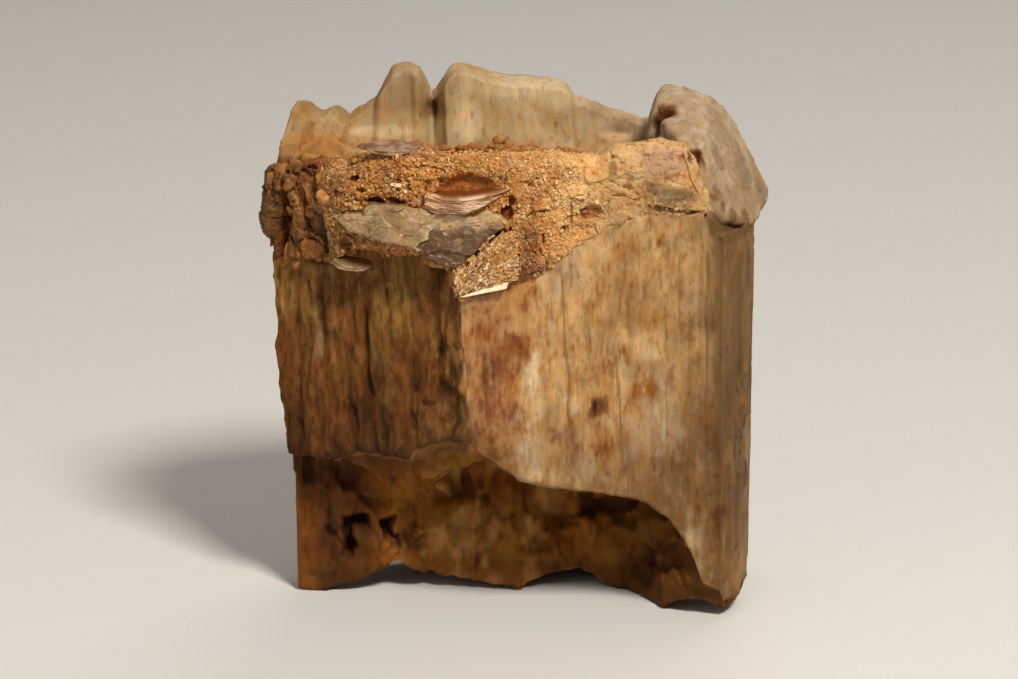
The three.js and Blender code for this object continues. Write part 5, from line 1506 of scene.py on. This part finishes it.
def stone(name, width, length, contrast, fleck, roughness, relief, subsurface, shine, crystals=0.0,
          rust=(0.6, 0.38, 0.26), veils=0.0):
    """A grown mineral. Its tint is streaked by noise of the given width and length in millimetres, more where
    the attribute streaks is high, clouded warmer and cooler, and mottled from milky to amber as much as veils
    says. Rust colours it in smudges where noise and the attribute rust together are high. Flecks darken it in
    groups; its roughness falls where the attribute gloss is high. With crystals, each cell of the given size
    in millimetres has a shade and a slope of its own, more where streaks is high."""
    n = Nodes(name)
    shader = n.shader
    tint, gloss = n.attribute("tint", "Color"), n.attribute("gloss")
    streaks, soaked = n.attribute("streaks"), n.attribute("rust")
    place = n.add("ShaderNodeTexCoord").outputs["Object"]

    fine = n.noise(place, width, length, 4.0)
    broad = n.noise(place, width * 5, length * 4, 3.0)
    grit = n.noise(place, width * 0.8, width * 0.9, 3.0)
    wave = n.plus(n.ranged(fine, 0.3, 0.7, -contrast, contrast),
                  n.ranged(broad, 0.3, 0.7, -0.8 * contrast, 0.8 * contrast))
    wave = n.times(wave, n.ranged(streaks, 0, 2, 0.25, 2.4))
    wave = n.plus(wave, n.ranged(grit, 0.3, 0.7, 0.94, 1.06))
    specks = n.ranged(n.noise(place, width * 1.3, length * 0.3, 2.0, 0.2), 0.6, 0.72, 0.0, fleck)
    groups = n.ranged(n.noise(place, width * 12, width * 20, 2.0), 0.45, 0.62, 0.0, 1.0)
    groups = n.times(groups, n.ranged(streaks, 0.1, 0.8, 0.25, 1.0))
    hairs = n.ranged(n.noise(place, width * 0.45, length * 1.7, 2.0), 0.62, 0.74, 0.0, 1.6 * contrast)
    spots = n.minus(n.minus(1.0, n.times(specks, groups)), n.times(hairs, streaks))
    factor = n.times(wave, spots)
    height = n.times(n.plus(n.times(fine, 0.6), grit), n.ranged(streaks, 0, 2, 0.6, 2.0))
    if crystals:
        cells = n.add("ShaderNodeTexVoronoi", Scale=1000 / crystals, feature="F1")
        n.link(place, cells.inputs["Vector"])
        shade = n.add("ShaderNodeSeparateColor")
        n.link(cells.outputs["Color"], shade.inputs["Color"])
        uneven = n.times(n.ranged(shade.outputs["Red"], 0, 1, -0.16, 0.16), streaks)
        factor = n.times(factor, n.plus(uneven, 1.0))
        slopes = n.minus(n.ranged(shade.outputs["Green"], 0, 1, 0, 1.2), cells.outputs["Distance"])
        height = n.plus(height, n.times(slopes, streaks))

    cloud = n.between(n.ranged(n.noise(place, width * 6, width * 9, 4.0), 0.35, 0.65, 0, 1), WARMER, COOLER)
    threads = n.noise(place, width * 2.6, width * 2.6 + length * 0.5, 8.0, 0.1)
    threads = n.plus(soaked, n.ranged(threads, 0.25, 0.75, -0.5, 0.5))
    rusty = n.between(n.ranged(threads, 0.16, 0.5, 0, 1), WHITE, rust)
    colour = n.tinted_by(n.tinted_by(tint, cloud), rusty)
    if veils:
        mottle = n.ramp(n.noise(place, width * 7, width * 12, 8.0, distortion=0.3), VEIL_STOPS)
        colour = n.tinted_by(colour, n.between(n.ranged(streaks, 0.1, 1, 0.35 * veils, veils), WHITE, mottle))
    n.link(n.scaled(colour, factor), shader.inputs["Base Color"])

    rough = n.plus(n.ranged(gloss, 0, 1, roughness[1], roughness[0]), n.ranged(grit, 0.3, 0.7, -0.06, 0.08))
    n.link(rough, shader.inputs["Roughness"])
    bumpy = n.add("ShaderNodeBump", Strength=relief, Distance=BUMP_HEIGHT)
    n.link(height, bumpy.inputs["Height"])
    n.link(bumpy.outputs["Normal"], shader.inputs["Normal"])
    shader.inputs["Subsurface Weight"].default_value = subsurface
    shader.inputs["Subsurface Radius"].default_value = SUBSURFACE_RADIUS
    shader.inputs["Subsurface Scale"].default_value = SUBSURFACE_SCALE
    shader.inputs["Specular IOR Level"].default_value = shine
    return n.material


# ---- Stage ---------------------------------------------------------------------------------------

CAMERA_TARGET = Vector((-0.32, 0, 20.94)) * MM
CAMERA_ELEVATION = np.radians(14)
CAMERA_DISTANCE = 300 * MM
CAMERA_LENS, SENSOR_WIDTH = 133.7, 36
CLIP_START, CLIP_END = 0.01, 20
LIGHT_TARGET = Vector((0, 0, 0.02))
LIGHTS = (  # name, azimuth (0 in front, 90 on the right), elevation, distance, side in metres, power, colour
    ("key", 25, 46, 0.5, 0.1, 2.9, (1, 0.95, 0.86)),
    ("fill", -40, 25, 0.6, 0.4, 0.3, (1, 0.93, 0.84)),
    ("back", 160, 50, 0.6, 0.3, 0.8, (1, 0.96, 0.9)))
FLOOR_CORNERS = np.array([(-3, -3, 0), (3, -3, 0), (3, 3, 0), (-3, 3, 0)]) / MM
FLOOR_COLOUR, FLOOR_ROUGHNESS = (0.62, 0.61, 0.59, 1), 0.9
WORLD_COLOUR, WORLD_STRENGTH = (1, 0.92, 0.82, 1), 0.24


def aimed(data, away, target, distance):
    """Puts a camera or light in the scene at a distance from its target, on the side away, and turns it to
    look at the target."""
    holder = bpy.data.objects.new(data.name, data)
    holder.location = target + away * distance
    holder.rotation_euler = (-away).to_track_quat("-Z", "Y").to_euler()
    bpy.context.scene.collection.objects.link(holder)
    return holder


def make_camera():
    """The camera, level across and a little above the piece, in front of its widest face."""
    data = bpy.data.cameras.new("camera")
    data.lens, data.sensor_width = CAMERA_LENS, SENSOR_WIDTH
    data.clip_start, data.clip_end = CLIP_START, CLIP_END
    back = Vector((0, -np.cos(CAMERA_ELEVATION), np.sin(CAMERA_ELEVATION)))
    bpy.context.scene.camera = aimed(data, back, CAMERA_TARGET, CAMERA_DISTANCE)


def make_light(name, azimuth, elevation, distance, size, power, colour):
    """A square soft light that looks at the middle of the piece."""
    data = bpy.data.lights.new(name, "AREA")
    data.size, data.energy, data.color = size, power, colour
    a, e = np.radians(azimuth), np.radians(elevation)
    aimed(data, Vector((np.sin(a) * np.cos(e), -np.cos(a) * np.cos(e), np.sin(e))), LIGHT_TARGET, distance)


def make_floor():
    """A wide plain floor of pale paper under the piece."""
    floor = mesh_object("floor", FLOOR_CORNERS, [(0, 1, 2, 3)])
    paper = Nodes("pale_paper")
    paper.shader.inputs["Base Color"].default_value = FLOOR_COLOUR
    paper.shader.inputs["Roughness"].default_value = FLOOR_ROUGHNESS
    floor.data.materials.append(paper.material)


def make_world():
    """Weak warm light from all sides."""
    world = bpy.data.worlds.new("studio")
    world.use_nodes = True
    background = world.node_tree.nodes["Background"]
    background.inputs["Color"].default_value = WORLD_COLOUR
    background.inputs["Strength"].default_value = WORLD_STRENGTH
    bpy.context.scene.world = world


make_camera()
for light in LIGHTS:
    make_light(*light)
make_floor()
make_world()
bpy.context.scene.view_settings.view_transform = "Standard"

# ---- The finishes and the pieces -----------------------------------------------------------------

hambergite = stone("hambergite", width=0.16, length=1.3, contrast=0.08, fleck=0.3, roughness=(0.32, 0.7),
                   relief=0.45, subsurface=0.25, rust=(0.64, 0.45, 0.29), veils=0.75, shine=0.16)
albite = stone("albite", width=0.13, length=0.15, contrast=0.1, fleck=0.2, roughness=(0.22, 0.72),
               relief=0.6, subsurface=0.3, crystals=0.13, rust=(0.66, 0.4, 0.24), shine=0.3)
feldspar = stone("feldspar", width=0.3, length=0.3, contrast=0.08, fleck=0.2, roughness=(0.16, 0.5),
                 relief=0.45, subsurface=0.2, crystals=0.3, shine=0.3)
mica = stone("lepidolite", width=0.6, length=0.05, contrast=0.1, fleck=0.1, roughness=(0.16, 0.42),
             relief=0.2, subsurface=0.0, shine=0.42)

crystal_piece(hambergite)
shoulder_piece(hambergite)
crust = crust_piece(albite)
sugar_grains("albite_grains", crust, 15000, 0.035, 0.09, 5, albite)
sugar_grains("albite_coarse_grains", crust, 2400, 0.06, 0.17, 6, albite)
fan_blades(crust, albite)
cleavage_blocks(albite)
rim_crumbs(albite)
side_knobs(crust, albite)
feldspar_piece(feldspar)
book_piece(mica)
mica_leaves("lepidolite_leaf", "lepidolite_flake", (-9.2, -6.9, 37.8), (2.5, 1.5, 0.2), (-0.03, 0.17), 3,
            FLAKE_GREY, 61, mica)
mica_leaves("lepidolite_lens_leaves", "lepidolite_lens", (-12.4, -6.9, 28.75), (1.6, 0.9, 0.24),
            (-0.12, 0.38), 2, LENS_GREY, 71, mica)
